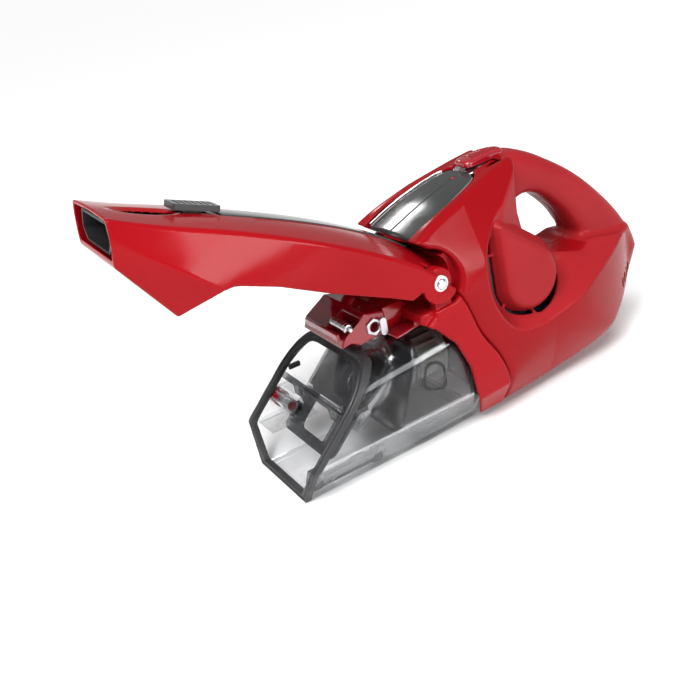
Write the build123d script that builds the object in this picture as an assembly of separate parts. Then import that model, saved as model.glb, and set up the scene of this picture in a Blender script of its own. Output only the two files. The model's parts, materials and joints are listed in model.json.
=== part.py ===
from build123d import *
from math import cos, radians, sin
import os

# A cordless hand vacuum whose nozzle flips up to empty the clear dirt cup.
# Millimetres. x runs back from the cup's mouth to the heel, y is across
# (y = 0 is the mid plane, -y the left hand side), z is up and the vacuum
# stands on z = 0. The written parts are moved so that the origin is the
# middle of the cup's flat base.

BASE_CENTRE_X = 50.0

# The nozzle's hinge, and the angle from shut to fully open (as modelled).
PIN_X = 113.1
PIN_Z = 113.6
OPEN_ANGLE = 56.9
PIN_RADIUS = 3.0
PIN_RUNNING_GAP = 0.06
LOBE_RADIUS = 13.2
LOBE_CLEARANCE = 18.4

BODY_HALF_WIDTH = 52.0
ARM_INNER = 49.2
ARM_OUTER = 51.8
EAR_INNER = 41.5
EAR_OUTER = 48.6
SHELL = 2.4
NOZZLE_WALL = 2.6
SPLIT_GAP = 0.05

# Clear cup.
CUP_HALF_WIDTH = 48.0
CUP_BASE_HALF = 31.8
CUP_CHAMFER_Z = 26.7
CUP_TOP_FRONT = 79.5
CUP_TOP_REAR = 87.0
CUP_REAR_X = 134.0
CUP_CORNER = 22.0
CUP_WALL = 2.0
GASKET_DEPTH = 4.4
GASKET_WIDTH = 4.6
MOUTH_PROFILE = [(0.0, -1.0), (3.9, CUP_CHAMFER_Z), (59.7, 78.9), (61.0, 96.0)]

# Release button in the right-hand wall of the cup.
BUTTON_X = 29.0
BUTTON_Z = 36.0
BUTTON_RADIUS = 6.0

# Crevice tool that slides in the nozzle.
TOOL_SLOPE = 36.5
TOOL_LENGTH = 70.0
TOOL_HALF_WIDTH = 27.0
TOOL_THICKNESS = 18.0
TOOL_WALL = 1.6
TOOL_TRAVEL = 30.0
SLIDER_BASE = 14.2
TOOL_FRONT_X = -53.5
TOOL_FRONT_Z = 11.6

# Pin of the inlet flap, in the shut nozzle.
FLAP_PIN_X = 31.9
FLAP_PIN_Z = 53.05
FLAP_PIN_RADIUS = 0.8

# Motor line.
MOTOR_X = 158.0
MOTOR_Z = 84.0
MOTOR_RADIUS = 17.5
MOTOR_LENGTH = 40.0
SHAFT_RADIUS = 1.6
FAN_RADIUS = 25.0
FAN_FRONT = 139.0

CELL_RADIUS = 9.2
CELL_LENGTH = 65.0
CELL_XS = (188.0, 208.0, 228.0)
CELL_Z = 33.0

# Catch roller, and the depth of its notch in the catch block.
ROLLER_X = 59.0
ROLLER_Z = 96.2
ROLLER_RADIUS = 3.0

BULGE_X = 190.0
BULGE_Z = 87.0
BULGE_RADIUS = 24.5
BULGE_TIP = (169.5, 128.0)
BULGE_TIP_RADIUS = 5.0
BULGE_FACE = 39.5
RECESS_FLOOR = 24.0
HANDLE_HALF = 15.5

INLAY_REAR = 182.0
LENS_X = 167.5
LENS_RADIUS = 1.7
FOOT_X = 214.0
FOOT_Y = 17.0
JACK_Z = 60.0
SCREW_SPOTS = [(152.0, 139.0), (139.0, 30.0), (246.0, 26.0), (298.0, 58.0), (292.0, 93.0)]

nodes = {}


def on_side(points):
    """Closed polygon of (x, z) points as a face on the side plane."""
    return Plane.XZ * make_face(Polyline(*points, close=True))


def both_ways(face, half_width):
    return extrude(face, amount=half_width, both=True)


def prism(points, half_width):
    """Side outline thickened to both sides of the mid plane."""
    return both_ways(on_side(points), half_width)


def slab(points, y_from, y_to):
    """Side outline between two widths, on the +y side."""
    face = Pos(0, y_from, 0) * on_side(points)
    return extrude(face, amount=y_to - y_from, dir=(0, 1, 0))


def both_sides(shape):
    return [shape, mirror(shape, about=Plane.XZ)]


def block(x0, x1, y0, y1, z0, z1):
    return Pos((x0 + x1) / 2, (y0 + y1) / 2, (z0 + z1) / 2) * Box(x1 - x0, y1 - y0, z1 - z0)


def rod_y(x, z, radius, y0, y1):
    return Pos(x, (y0 + y1) / 2, z) * Rot(90, 0, 0) * Cylinder(radius, y1 - y0)


def rod_x(x0, x1, y, z, radius):
    return Pos((x0 + x1) / 2, y, z) * Rot(0, 90, 0) * Cylinder(radius, x1 - x0)


def rod_z(x, y, z0, z1, radius):
    return Pos(x, y, (z0 + z1) / 2) * Cylinder(radius, z1 - z0)


def section(x, points):
    """Closed polygon of (y, z) points on the plane at x."""
    return Plane.YZ.offset(x) * make_face(Polyline(*points, close=True))


def mirrored(points):
    """Right-hand half outline, closed across the mid plane."""
    return points + [(-y, z) for y, z in reversed(points) if y > 0]


def rounded(shape, radius, edges):
    """Fillet that keeps the sharp shape where the round does not fit."""
    try:
        return fillet(edges, radius)
    except Exception:
        return shape


def opened(shape):
    """From the nozzle's shut place to the open rest position."""
    return shape.rotate(Axis((PIN_X, 0, PIN_Z), (0, 1, 0)), OPEN_ANGLE)


def add(name, *shapes):
    """File a node under its name, in the written frame."""
    solids = []
    for shape in shapes:
        solids.extend(shape.solids())
    moved = [Pos(-BASE_CENTRE_X, 0, 0) * one for one in solids]
    nodes[name] = moved[0] if len(moved) == 1 else Compound(children=moved)


# ---------------------------------------------------------------- body shape
def beside_pin(degrees):
    """Point of the round clearance that the nozzle's lobe turns in."""
    turn = radians(degrees)
    return (PIN_X + LOBE_CLEARANCE * cos(turn), PIN_Z + LOBE_CLEARANCE * sin(turn))


def side_outline():
    """Whole side view of the body, with the handle, as one face."""
    arc_start = beside_pin(-42)
    arc_mid = beside_pin(0)
    arc_end = beside_pin(80)
    front = Spline((157, 6), (156, 31), (149, 50), (138, 69), (130, 92), arc_start)
    lobe = ThreePointArc(arc_start, arc_mid, arc_end)
    lip = Line(arc_end, (110.5, 136.6))
    top = Spline((110.5, 136.6), (122, 141.8), (139, 148), (156, 154), (180, 162), (200, 166.5),
                 (213, 163.5), (240, 148.5), (262, 133), (285, 110), (303, 87), (315, 68))
    heel = ThreePointArc((315, 68), (317.5, 61), (311, 52))
    bottom = Spline((311, 52), (298, 39), (284, 29.5), (264, 19), (234, 11.5), (205, 8.5), (157, 6))
    return Plane.XZ * make_face(Curve() + [front, lobe, lip, top, heel, bottom])


def plan_outline(inset=0.0):
    """Body seen from above: straight sides that close into the heel."""
    half = BODY_HALF_WIDTH - inset
    side = Spline((190, half), (222, half - 2.5), (256, half - 12), (290, 24 - inset), (312, 10 - inset))
    nose = ThreePointArc((312, 10 - inset), (317 - inset, 0), (312, -10 + inset))
    corners = [(190, -half), (70, -half), (70, half), (190, half)]
    straights = [Line(a, b) for a, b in zip(corners, corners[1:])]
    return make_face(Curve() + straights + [side, nose, mirror(side, about=Plane.XZ)])


BODY_ROWS = [
    # x, foot (y, z), bevel z, shoulder z, upper crease (y, z), cheek (y, z)
    (70, (33, -2), 28, 84, (44, 106), (31, 150)),
    (125, (33, -2), 28, 97, (42.5, 119), (30, 152)),
    (150, (33, -2), 30, 105, (37, 134), (29, 159)),
    (205, (33, 2), 32, 118, (20, 163), (19, 172)),
    (330, (22, 12), 44, 118, (20, 163), (19, 172)),
]
SECTION_TOP = 200


def body_half_section(corners, inset):
    """Right-hand half of one cross-section, moved inwards by inset."""
    (foot_y, foot_z), bevel_z, shoulder_z, (crease_y, crease_z), (cheek_y, cheek_z) = corners
    half = BODY_HALF_WIDTH + 1 - inset
    foot = (foot_y - inset, foot_z + inset)
    upper = [(crease_y - inset, crease_z), (cheek_y - inset, cheek_z), (cheek_y - inset, SECTION_TOP)]
    return [foot, (half, bevel_z), (half, shoulder_z)] + upper


def envelope(inset=0.0):
    """Plan outline with bevelled lower corners and sloping shoulders."""
    plan = extrude(plan_outline(inset), amount=200)
    sections = [section(x, mirrored(body_half_section(corners, inset))) for x, *corners in BODY_ROWS]
    shape = None
    for near, far in zip(sections, sections[1:]):
        span = loft([near, far], ruled=True)
        shape = span if shape is None else shape + span
    return plan & shape


def recess_cutter():
    """Scoop in one side (+y): wide at the skin, smaller at its floor."""
    def outline(curve, corners, y):
        wire = Curve() + [Spline(*curve)] + [Line(a, b) for a, b in zip(corners, corners[1:])]
        return Plane.XZ.offset(-y) * make_face(wire)

    skin_curve = [(190, 163), (164, 141), (148.5, 120), (149, 85), (168, 57), (190, 52.5)]
    skin_corners = [(190, 52.5), (250, 62), (285, 64), (345, 66), (345, 195), (190, 195), (190, 163)]
    skin = outline(skin_curve, skin_corners, 56)
    floor_curve = [(200, 158), (183, 140), (167, 122), (162, 96), (171, 79), (192, 80)]
    floor_corners = [(192, 80), (240, 86.5), (280, 83), (345, 78), (345, 195), (200, 195), (200, 158)]
    floor = outline(floor_curve, floor_corners, RECESS_FLOOR)
    return loft([floor, skin], ruled=True)


def finger_opening():
    path = Spline((206, 128), (222, 128.5), (240, 115), (253, 98), (256, 87.5), (246, 84.5), (229, 88),
                  (213, 101), (201, 116), (206, 128), periodic=False)
    return both_ways(Plane.XZ * make_face(path), 80)


def handle_sides():
    """Stock beside the slim handle, cut away above the deck on +y."""
    deck = [(210, 104), (226, 93), (243, 90), (262, 86.5), (281, 83), (330, 76)]
    above_deck = [(204, 175), (197, 150), (196, 128)] + deck + [(340, 175)]
    return slab(above_deck, HANDLE_HALF, 80)


def bulge_face(grow=0.0):
    """Teardrop outline of the motor bulge."""
    round_end = Pos(BULGE_X, BULGE_Z) * Circle(BULGE_RADIUS + grow)
    tip = Pos(*BULGE_TIP) * Circle(BULGE_TIP_RADIUS + grow)
    return make_hull(round_end.edges() + tip.edges())


def bulge(y_from, y_to, grow=0.0):
    face = Plane.XZ.offset(-y_from) * bulge_face(grow)
    return extrude(face, amount=y_to - y_from, dir=(0, 1, 0))


def body_solid():
    shape = both_ways(side_outline(), 60) & envelope()
    cuts = both_sides(recess_cutter()) + both_sides(handle_sides()) + [finger_opening()]
    for cut in cuts:
        shape = shape - cut
    dome = bulge(RECESS_FLOOR - 6, BULGE_FACE)
    rim = dome.faces().sort_by(Axis.Y)[-1].edges()
    dome = rounded(dome, 7.0, rim)
    for side in both_sides(dome):
        shape = shape + side
    return shape


def body_cavity():
    """Room inside: front bay, motor bay, tub, and the hollow handle."""
    inner = envelope(SHELL)
    front_side = [(110, 12), (142, 12), (143, 50), (143, 131), (133, 131), (133, 110), (124, 93), (110, 86)]
    front_bay = prism(front_side, 46)
    recess_front = [(192, 47), (155, 49), (145, 62), (142, 90), (143, 112), (155, 132)]
    shoulder_bay = prism([(140, 12), (192, 12)] + recess_front + [(140, 132)], 60)
    core_top = [(133, 108), (133, 139), (155, 148), (180, 156), (196, 159), (196, 108)]
    core_rear = [(225, 86), (245, 80), (262, 80), (262, 60), (130, 60), (130, 92)]
    core_bay = prism(core_top + core_rear, 20.5)
    tub_section = [(33 - SHELL, 10.5), (49.6, 33), (49.6, 43), (22, 74)]
    tub = extrude(section(165, mirrored(tub_section)), amount=138)
    tub_floor = [(150, 12), (205, 11.5), (234, 14.5), (262, 22), (282, 32.5), (296, 43), (306, 52)]
    tub_side = prism(tub_floor + [(307, 62), (275, 76), (150, 80)], 60)
    grip_under = [(224, 150), (217, 136), (228, 133), (246, 119), (259, 102), (263, 93)]
    grip_over = [(284, 93), (292, 93.5), (279, 109), (258, 131), (238, 145)]
    handle_hollow = prism(grip_under + grip_over, HANDLE_HALF - SHELL)
    switch_bay = block(186, 207, -12.5, 12.5, 134, 157)
    fan_bay = rod_x(131, 157, 0, MOTOR_Z, FAN_RADIUS + 5)
    cavity = (front_bay & inner) + (shoulder_bay & inner) + (core_bay & inner) + (tub & tub_side & inner)
    for room in both_sides(bulge(14, BULGE_FACE - SHELL, -SHELL)):
        cavity = cavity + room
    return cavity + handle_hollow + switch_bay + fan_bay


def hinge_ear():
    """Lug on +y that carries one hinge pin."""
    web_side = [(PIN_X - 2, PIN_Z - 9.5), (PIN_X, PIN_Z + 9.5), (136, 121), (136, 103)]
    web = slab(web_side, EAR_INNER, EAR_OUTER)
    ear = web + rod_y(PIN_X, PIN_Z, 9.5, EAR_INNER, EAR_OUTER)
    return ear - rod_y(PIN_X, PIN_Z, PIN_RADIUS, EAR_INNER - 1, EAR_OUTER + 1)


def inlay_plan(grow=0.0, depth=200):
    """Outline of the dark top panel, seen from above."""
    half = 24.0 + grow
    rear = INLAY_REAR + grow
    edge = Spline((100, half), (140, half + 0.8), (170, half - 3.0), (rear, half - 8))
    end = Line((rear, half - 8), (rear, -half + 8))
    face = make_face(Curve() + [edge, end, mirror(edge, about=Plane.XZ), Line((100, -half), (100, half))])
    return extrude(face, amount=depth)


def below_top(depth, lowest=120.0):
    """Side slab that ends a given depth under the top line."""
    top = [(101, 132.2), (122, 141), (139, 147.4), (156, 153.3), (180, 160.8), (196, 165)]
    line = Spline(*[(x, z - depth) for x, z in top])
    corners = [(196, 165 - depth), (196, lowest), (101, lowest), (101, 132.2 - depth)]
    ends = [Line(a, b) for a, b in zip(corners, corners[1:])]
    return both_ways(Plane.XZ * make_face(Curve() + [line] + ends), 60)


def housings():
    shape = body_solid() - body_cavity()
    panel_seat = inlay_plan(1.5) - below_top(4.4)
    shape = shape - (panel_seat & block(90, 200, -40, 40, 100, 175))
    shape = shape - block(184, 216, -12.5, 12.5, 158.8, 175)
    shape = shape - block(180, 185, -9.4, 9.4, 160.4, 175)
    shape = shape - block(184, 210, -9.0, 9.0, 150.0, 175)
    for ear in both_sides(hinge_ear()):
        shape = shape + ear
    for x, z in SCREW_SPOTS:
        shape = shape + (rod_y(x, z, 4.2, -30, 30) & envelope(1.0) & both_ways(side_outline(), 60))
        shape = shape - rod_y(x, z, 1.5, -12, 60) - rod_y(x, z, 3.1, 12, 60)
    for room in both_sides(rod_y(PIN_X, PIN_Z, LOBE_RADIUS + 1.4, EAR_OUTER + 0.3, 60)):
        shape = shape - room
    for slots in both_sides(vent_segments(12, 32)):
        shape = shape - slots
    shape = shape - heel_slots() - rod_x(300, 330, 0, JACK_Z, 4.1)
    left = shape & block(80, 330, -60, -SPLIT_GAP, -5, 180)
    right = shape & block(80, 330, SPLIT_GAP, 60, -5, 180)
    return largest(left), largest(right)


def largest(shape):
    return sorted(shape.solids(), key=lambda one: one.volume)[-1]


def heel_slots():
    slots = None
    for i in range(4):
        for side in (-1, 1):
            place = Pos(286 + 4.2 * i, side * (28 - 3.4 * i), 46 + 2.8 * i)
            slot = place * Rot(0, 0, -side * 42) * Box(1.6, 14, 7)
            slots = slot if slots is None else slots + slot
    return slots


# ---------------------------------------------------------------- collar, cup
def collar():
    outline = [(137, 5.2), (128.5, 30), (126, 50), (117.5, 70.6), (104, 86), (90, 90), (86, 98), (121, 98.3),
               (127, 102), (160, 102), (160, 6.2)]
    ring = (prism(outline, 60) - both_ways(side_outline(), 61)) & envelope()
    tunnel = cup_block(CUP_HALF_WIDTH + 0.3, 0.3, 60, 172)
    ring = ring - tunnel
    ring = ring - rod_y(PIN_X, PIN_Z, LOBE_RADIUS + 1.2, -60, 60)
    trimmed = ring - block(80, 126, 46.5, 60, 80, 110) - block(80, 126, -60, -46.5, 80, 110)
    return largest(trimmed)


def cup_section(half, grow, top):
    corner = CUP_CORNER + grow
    base = Line((-CUP_BASE_HALF - grow, -grow), (CUP_BASE_HALF + grow, -grow))
    low_right = Line((CUP_BASE_HALF + grow, -grow), (half, CUP_CHAMFER_Z))
    side_right = Line((half, CUP_CHAMFER_Z), (half, top - corner))
    bulk = corner * (1 - cos(radians(45)))
    arc_right = ThreePointArc((half, top - corner), (half - bulk, top - bulk), (half - corner, top))
    roof = Line((half - corner, top), (-half + corner, top))
    halves = [low_right, side_right, arc_right]
    return make_face(Curve() + [base] + halves + [roof] + [mirror(one, about=Plane.YZ) for one in halves])


def cup_block(half, grow, x0, x1):
    """Solid of the cup's outer or inner form between two places."""
    slope = (CUP_TOP_REAR - CUP_TOP_FRONT) / (CUP_REAR_X - 60)
    near = Plane.YZ.offset(x0) * cup_section(half, grow, CUP_TOP_FRONT + slope * (x0 - 60) + grow)
    far = Plane.YZ.offset(x1) * cup_section(half, grow, CUP_TOP_FRONT + slope * (x1 - 60) + grow)
    return loft([near, far], ruled=True)


def behind_mouth(shift, far_x=400.0):
    line = [(x + shift, z) for x, z in MOUTH_PROFILE]
    return prism(line + [(far_x, 96), (far_x, -1)], 70)


def front_of_mouth(shift):
    line = [(x + shift, z) for x, z in MOUTH_PROFILE]
    return prism(line + [(-80, 96), (-80, -1)], 70)


def base_line():
    """Keeps what lies above the cup's base, which rises at the back."""
    return prism([(-10, 0), (100, 0), (140, 4.6), (175, 5.6), (175, 100), (-10, 100)], 70)


def inner_base_line():
    w = CUP_WALL
    return prism([(-10, w), (100, w), (140, 4.6 + w), (175, 5.6 + w), (175, 100), (-10, 100)], 70)


def dirt_cup():
    outer = cup_block(CUP_HALF_WIDTH, 0, -8, CUP_REAR_X) & base_line() & behind_mouth(GASKET_DEPTH)
    inner = cup_block(CUP_HALF_WIDTH - CUP_WALL, -CUP_WALL, -9, CUP_REAR_X + 1) & inner_base_line()
    shape = outer - inner
    button_hole = rod_y(BUTTON_X, BUTTON_Z, BUTTON_RADIUS + 0.4, 40, 60)
    return largest(shape - button_hole)


def rim_gasket():
    outer = cup_block(CUP_HALF_WIDTH, 0, -8, 80) & base_line()
    inner = cup_block(CUP_HALF_WIDTH - GASKET_WIDTH, -GASKET_WIDTH, -9, 81)
    inner = inner & prism([(-10, GASKET_WIDTH), (90, GASKET_WIDTH), (90, 100), (-10, 100)], 70)
    ring = (outer - inner) & behind_mouth(0) & front_of_mouth(GASKET_DEPTH)
    return largest(ring)


def rim_clips():
    """Small tabs inside the cup, just behind the gasket."""
    wall_clip = block(41.5, 50.0, 44.0, CUP_HALF_WIDTH - CUP_WALL - 0.02, 51.6, 55.0)
    roof_clip = block(65.5, 74.0, 14.0, 20.0, 76.2, 78.0)
    return both_sides(wall_clip) + both_sides(roof_clip)


def rear_seal():
    outer = cup_block(CUP_HALF_WIDTH - CUP_WALL - 0.05, -CUP_WALL - 0.05, 128.5, 133.5)
    outer = outer & prism([(100, 6.5), (175, 7.7), (175, 100), (100, 100)], 70)
    inner = cup_block(CUP_HALF_WIDTH - CUP_WALL - 4, -CUP_WALL - 4, 120, 140)
    inner = inner & prism([(100, 12), (175, 12), (175, 100), (100, 100)], 70)
    return largest(outer - inner)


def filter_frame():
    """Smoky hood that closes the rear of the cup round the filter."""
    outer = cup_block(CUP_HALF_WIDTH - CUP_WALL - 0.4, -CUP_WALL - 0.4, 98, 128)
    outer = outer & prism([(80, 20), (175, 20), (175, 100), (80, 100)], 70)
    inner = cup_block(CUP_HALF_WIDTH - CUP_WALL - 2.4, -CUP_WALL - 2.4, 96, 130)
    inner = inner & prism([(80, 22), (175, 22), (175, 100), (80, 100)], 70)
    hood = outer - inner
    plate = block(98, 100, -40, 40, 23, 80) & inner
    plate = plate - rod_x(90, 110, 0, 52, 25.2)
    return largest(hood + plate)


def filter_cone():
    """Stepped cone that narrows towards the mouth, with three rings."""
    outside = [(62, 0), (62, 11), (66, 12.5), (84, 17), (84.5, 19), (89.5, 19.5), (90, 22.3), (95, 22.6),
               (95.5, 24.5), (100, 24.8)]
    inside = [(100, 22.4), (96, 20.2), (86, 17), (67, 10.5), (64, 9.4), (64, 0)]
    face = Plane.XY * make_face(Polyline(*(outside + inside), close=True))
    return Pos(0, 0, 52) * revolve(face, Axis.X)


def pleated_filter():
    """Star of folded paper on a disc, standing between cone and seal."""
    outer_points = []
    count = 24
    for i in range(count):
        a = radians(360 / count * i)
        b = radians(360 / count * (i + 0.5))
        outer_points += [(21.0 * cos(a), 21.0 * sin(a)), (16.5 * cos(b), 16.5 * sin(b))]
    star = Plane.YZ.offset(103) * make_face(Polyline(*outer_points, close=True))
    body = Pos(0, 0, 52) * extrude(star, amount=20)
    disc = rod_x(123, 126, 0, 52, 25) - rod_x(122, 130, 0, 52, 12)
    return (body - rod_x(100, 121, 0, 52, 12)) + disc


def air_guide():
    """Dark plate behind the mouth with two windows and a cross-bar."""
    plate = prism([(34, 48), (36.5, 48), (59, 69), (59, 72.4), (56.7, 72.4), (56.7, 69.8)], 33)
    arch = prism([(34, 20), (36.5, 20), (36.5, 48), (34, 48)], 22)
    windows = block(20, 70, -30, -7, 53, 65) + block(20, 70, 7, 30, 53, 65)
    port = block(30, 40, -15, 15, 24, 42)
    reach = CUP_HALF_WIDTH - CUP_WALL - 0.1
    bar = rod_y(37.3, 49.0, 2.2, -reach, reach)
    return largest((plate - windows) + (arch - port) + bar)


def latch_box():
    outer = block(10, 46, 22, 50, 24, 46)
    inner = block(8, 44, 24, 52, 26, 44)
    boss = rod_y(BUTTON_X, BUTTON_Z, 8.6, 23, 41.5) - rod_y(BUTTON_X, BUTTON_Z, 7.2, 24, 60)
    box = (outer - inner + boss) & cup_block(CUP_HALF_WIDTH - CUP_WALL - 0.2, -CUP_WALL - 0.2, 0, 80)
    return largest(box & behind_mouth(GASKET_DEPTH + 0.4))


def base_rail():
    """Grey rail on the left lower bevel, with two slots and end blocks."""
    bar = block(12, 74, -48, -35, 12, 17)
    blocks = block(8.6, 15, -48, -34, 10, 22) + block(70, 76, -48, -34, 10, 21)
    slots = block(28, 30, -50, -30, 13.2, 15.8) + block(34, 36, -50, -30, 13.2, 15.8)
    posts = block(44, 47, -48, -40, 14, 24) + block(42, 49, -48, -40, 23, 27)
    inside = cup_block(CUP_HALF_WIDTH - CUP_WALL - 0.1, -CUP_WALL - 0.1, 0, 90)
    return largest((bar + blocks + posts - slots) & inside)


# ---------------------------------------------------------------- catch block
def catch_block():
    outline = [(50, 85.5), (58, 86.5), (64, 83.2), (83, 85.4), (84, 97), (70, 103), (54, 92.5)]
    shape = prism(outline, 26)
    shape = shape - block(53, 65, -27, -9.5, ROLLER_Z - 4.2, 110) - rod_y(74, 91.5, 4.0, -27, -19)
    foot = block(66, 82, -20, 20, 81.9, 86) & prism([(64, 80.6), (84, 82.6), (84, 90), (64, 90)], 30)
    return shape + foot


# ---------------------------------------------------------------- nozzle
NOZZLE_ROWS = [
    # x, (lower crease y, z), (upper crease y, z), crown z
    (-75, (31.0, 8.5), (30.5, 11.5), 12.5),
    (-47, (37.5, 13.6), (37.0, 29.4), 31.5),
    (-8, (48.2, 24.0), (43.5, 57.0), 61.0),
    (34, (51.8, 34.0), (50.2, 83.0), 89.8),
    (68, (51.8, 44.0), (50.9, 100.6), 109.5),
    (100, (51.8, 50.0), (51.0, 113.5), 123.6),
    (130, (51.8, 50.0), (51.3, 119.0), 129.5),
]


def nozzle_section(row, inset):
    x, (low_y, low_z), (top_y, top_z), crown = row
    low_half = 33.0 - inset * 0.6
    bottom = 1.0 + inset
    crease = (low_y - inset, low_z + inset * 0.35)
    right = [(low_half, bottom), crease, (top_y - inset, top_z - inset * 0.8)]
    left = [(-y, z) for y, z in reversed(right)]
    roof = ThreePointArc(right[-1], (0, crown - inset), left[0])
    lines = [Line(a, b) for a, b in zip(right, right[1:])] + [Line(a, b) for a, b in zip(left, left[1:])]
    face = make_face(Curve() + lines + [roof, Line(left[-1], right[0])])
    return Plane.YZ.offset(x) * face


def nozzle_form(inset=0.0):
    return loft([nozzle_section(row, inset) for row in NOZZLE_ROWS])


def nozzle_side():
    """Side outline of the nozzle, shut: mouth, lower edge and lobe."""
    chin = [(-45.5, 0.5), (-1.3, 0.5), (2.4, 26.5), (6, 32.5)]
    lower = chin + [(27, 47.7), (58, 65.4), (90, 85.6), (104.2, 94.0)]
    outline = lower + [(PIN_X, PIN_Z), (PIN_X, 150), (-66.5, 150), (-66.5, 18.5)]
    return prism(outline, 70) + rod_y(PIN_X, PIN_Z, LOBE_RADIUS, -70, 70)


def nozzle_shell():
    front_room = block(-90, PIN_X - 4, -70, 70, 0, 150)
    lobe_room = rod_y(PIN_X, PIN_Z, LOBE_RADIUS - 2.6, -70, 70)
    low_room = block(60, 130, -70, 70, 0, PIN_Z)
    inner = nozzle_form(NOZZLE_WALL) & (front_room + lobe_room + low_room)
    shell = (nozzle_form() & nozzle_side()) - inner
    ear_room = slab([(97.5, 90), (97.5, 150), (140, 150), (140, 90)], EAR_INNER - 0.6, ARM_INNER - 0.15)
    for notch in both_sides(ear_room):
        shell = shell - notch
    shell = shell - block(100, 140, -EAR_INNER, EAR_INNER, 80, PIN_Z)
    slot = tool_frame(block(14, 14 + 16 + TOOL_TRAVEL, -3.4, 3.4, 0, 30))
    shell = shell - slot
    for bore in both_sides(rod_y(PIN_X, PIN_Z, 5.0, 45, 60)):
        shell = shell - bore
    return largest(shell)


def tool_frame(shape):
    """From the crevice tool's own axes (x back along it) to the nozzle."""
    return Pos(TOOL_FRONT_X, 0, TOOL_FRONT_Z) * Rot(0, -TOOL_SLOPE, 0) * shape


def top_strip():
    """Dark strip let into the nozzle's top, open where the slider runs."""
    outline = [(-8, 9.0), (8, 10.5), (104, 10.5), (104, -10.5), (8, -10.5), (-8, -9.0)]
    plan = extrude(make_face(Polyline(*outline, close=True)), amount=200)
    raised = Pos(0, 0, 0.9) * nozzle_form()
    strip = (raised - nozzle_form(-0.02)) & plan
    slot = tool_frame(block(12, 16 + 18 + TOOL_TRAVEL, -4.4, 4.4, 0, 40))
    return largest(strip - slot)


def tool_tube(inset):
    """Flat tube with bevelled lower corners and rounded edges."""
    half = TOOL_HALF_WIDTH - inset
    top = TOOL_THICKNESS / 2 - inset
    right = [(half - 6, -top), (half, -2), (half - 3.5, top)]
    tube = extrude(section(-8 - inset, mirrored(right)), amount=TOOL_LENGTH + 8 + 2 * inset)
    return rounded(tube, 2.4 - inset / 2, tube.edges().filter_by(Axis.X))


def crevice_tool():
    tube = tool_tube(0) - tool_tube(TOOL_WALL)
    mouth = prism([(-20, -20), (3.4, -20), (-5.7, 20), (-20, 20)], 60)
    top = TOOL_THICKNESS / 2
    stem = block(46, 57, -2.6, 2.6, top - TOOL_WALL, SLIDER_BASE)
    return largest(tool_frame(tube - mouth + stem))


def slider_button():
    """Ribbed thumb block that rides on the strip and moves the tool."""
    base = SLIDER_BASE
    pad = block(38, 66, -8, 8, base, base + 3.6)
    pad = rounded(pad, 1.2, pad.edges().filter_by(Axis.Z))
    for i in range(7):
        pad = pad - block(41.5 + 3.4 * i, 43.1 + 3.4 * i, -6.4, 6.4, base + 2.6, base + 5)
    return tool_frame(pad)


def baffle():
    """Wall across the nozzle's back, with a port for the air."""
    rear = [(-4.0, 4.4), (-1.9, 4.4), (0.6, 26.5), (42.3, 65.0), (42.3, 94)]
    wall = rear + [(40.3, 94), (40.3, 66.2), (-1.8, 27.4)]
    plate = prism(wall, 60) & nozzle_form(NOZZLE_WALL + 0.02)
    plate = plate - block(-3, 36, -17, 17, 33.0, 52.0)
    for ear in both_sides(slab([(28.0, 51.4), (31.0, 49.6), (35.0, 52.6), (33.4, 57.2)], 19.5, 21.5)):
        plate = plate + ear
    return largest(plate - rod_y(FLAP_PIN_X, FLAP_PIN_Z, FLAP_PIN_RADIUS, -30, 30))


def inlet_flap():
    """Soft flap over the port, on the baffle's cup side."""
    leaf = prism([(3.8, 29.2), (5.1, 27.9), (32.2, 52.6), (31.0, 54.2)], 19.0)
    knuckle = rod_y(FLAP_PIN_X, FLAP_PIN_Z, 1.5, -19.0, 19.0)
    return largest(leaf + knuckle - rod_y(FLAP_PIN_X, FLAP_PIN_Z, FLAP_PIN_RADIUS + 0.06, -30, 30))


# ---------------------------------------------------------------- drive parts
def motor_can():
    can = rod_x(MOTOR_X, MOTOR_X + MOTOR_LENGTH, 0, MOTOR_Z, MOTOR_RADIUS)
    boss = rod_x(MOTOR_X - 3, MOTOR_X, 0, MOTOR_Z, 6.0)
    return can + boss - rod_x(MOTOR_X - 5, MOTOR_X + MOTOR_LENGTH + 2, 0, MOTOR_Z, SHAFT_RADIUS + 0.05)


def impeller():
    fan = rod_x(FAN_FRONT + 2, FAN_FRONT + 12, 0, MOTOR_Z, 5.0)
    fan = fan + rod_x(FAN_FRONT + 10.6, FAN_FRONT + 12, 0, MOTOR_Z, FAN_RADIUS)
    reach = rod_x(FAN_FRONT + 2.5, FAN_FRONT + 11, 0, MOTOR_Z, FAN_RADIUS - 0.5)
    blade_count = 9
    for i in range(blade_count):
        turn = Rot(360 / blade_count * i, 0, 0)
        blade = turn * Pos(0, 0, 14.2) * Rot(0, 0, 24) * Box(8, 1.4, 20)
        blade = Pos(FAN_FRONT + 6.8, 0, MOTOR_Z) * blade
        fan = fan + (blade & reach)
    return largest(fan - rod_x(130, 170, 0, MOTOR_Z, SHAFT_RADIUS))


def fan_shroud():
    cup = rod_x(FAN_FRONT, FAN_FRONT + 15, 0, MOTOR_Z, FAN_RADIUS + 3.2)
    cup = cup - rod_x(FAN_FRONT + 1.5, FAN_FRONT + 13.5, 0, MOTOR_Z, FAN_RADIUS + 1.2)
    eye = rod_x(FAN_FRONT - 1, FAN_FRONT + 4, 0, MOTOR_Z, 13)
    boss_hole = rod_x(FAN_FRONT + 12, 170, 0, MOTOR_Z, 6.3)
    return largest(cup - eye - boss_hole)


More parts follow.
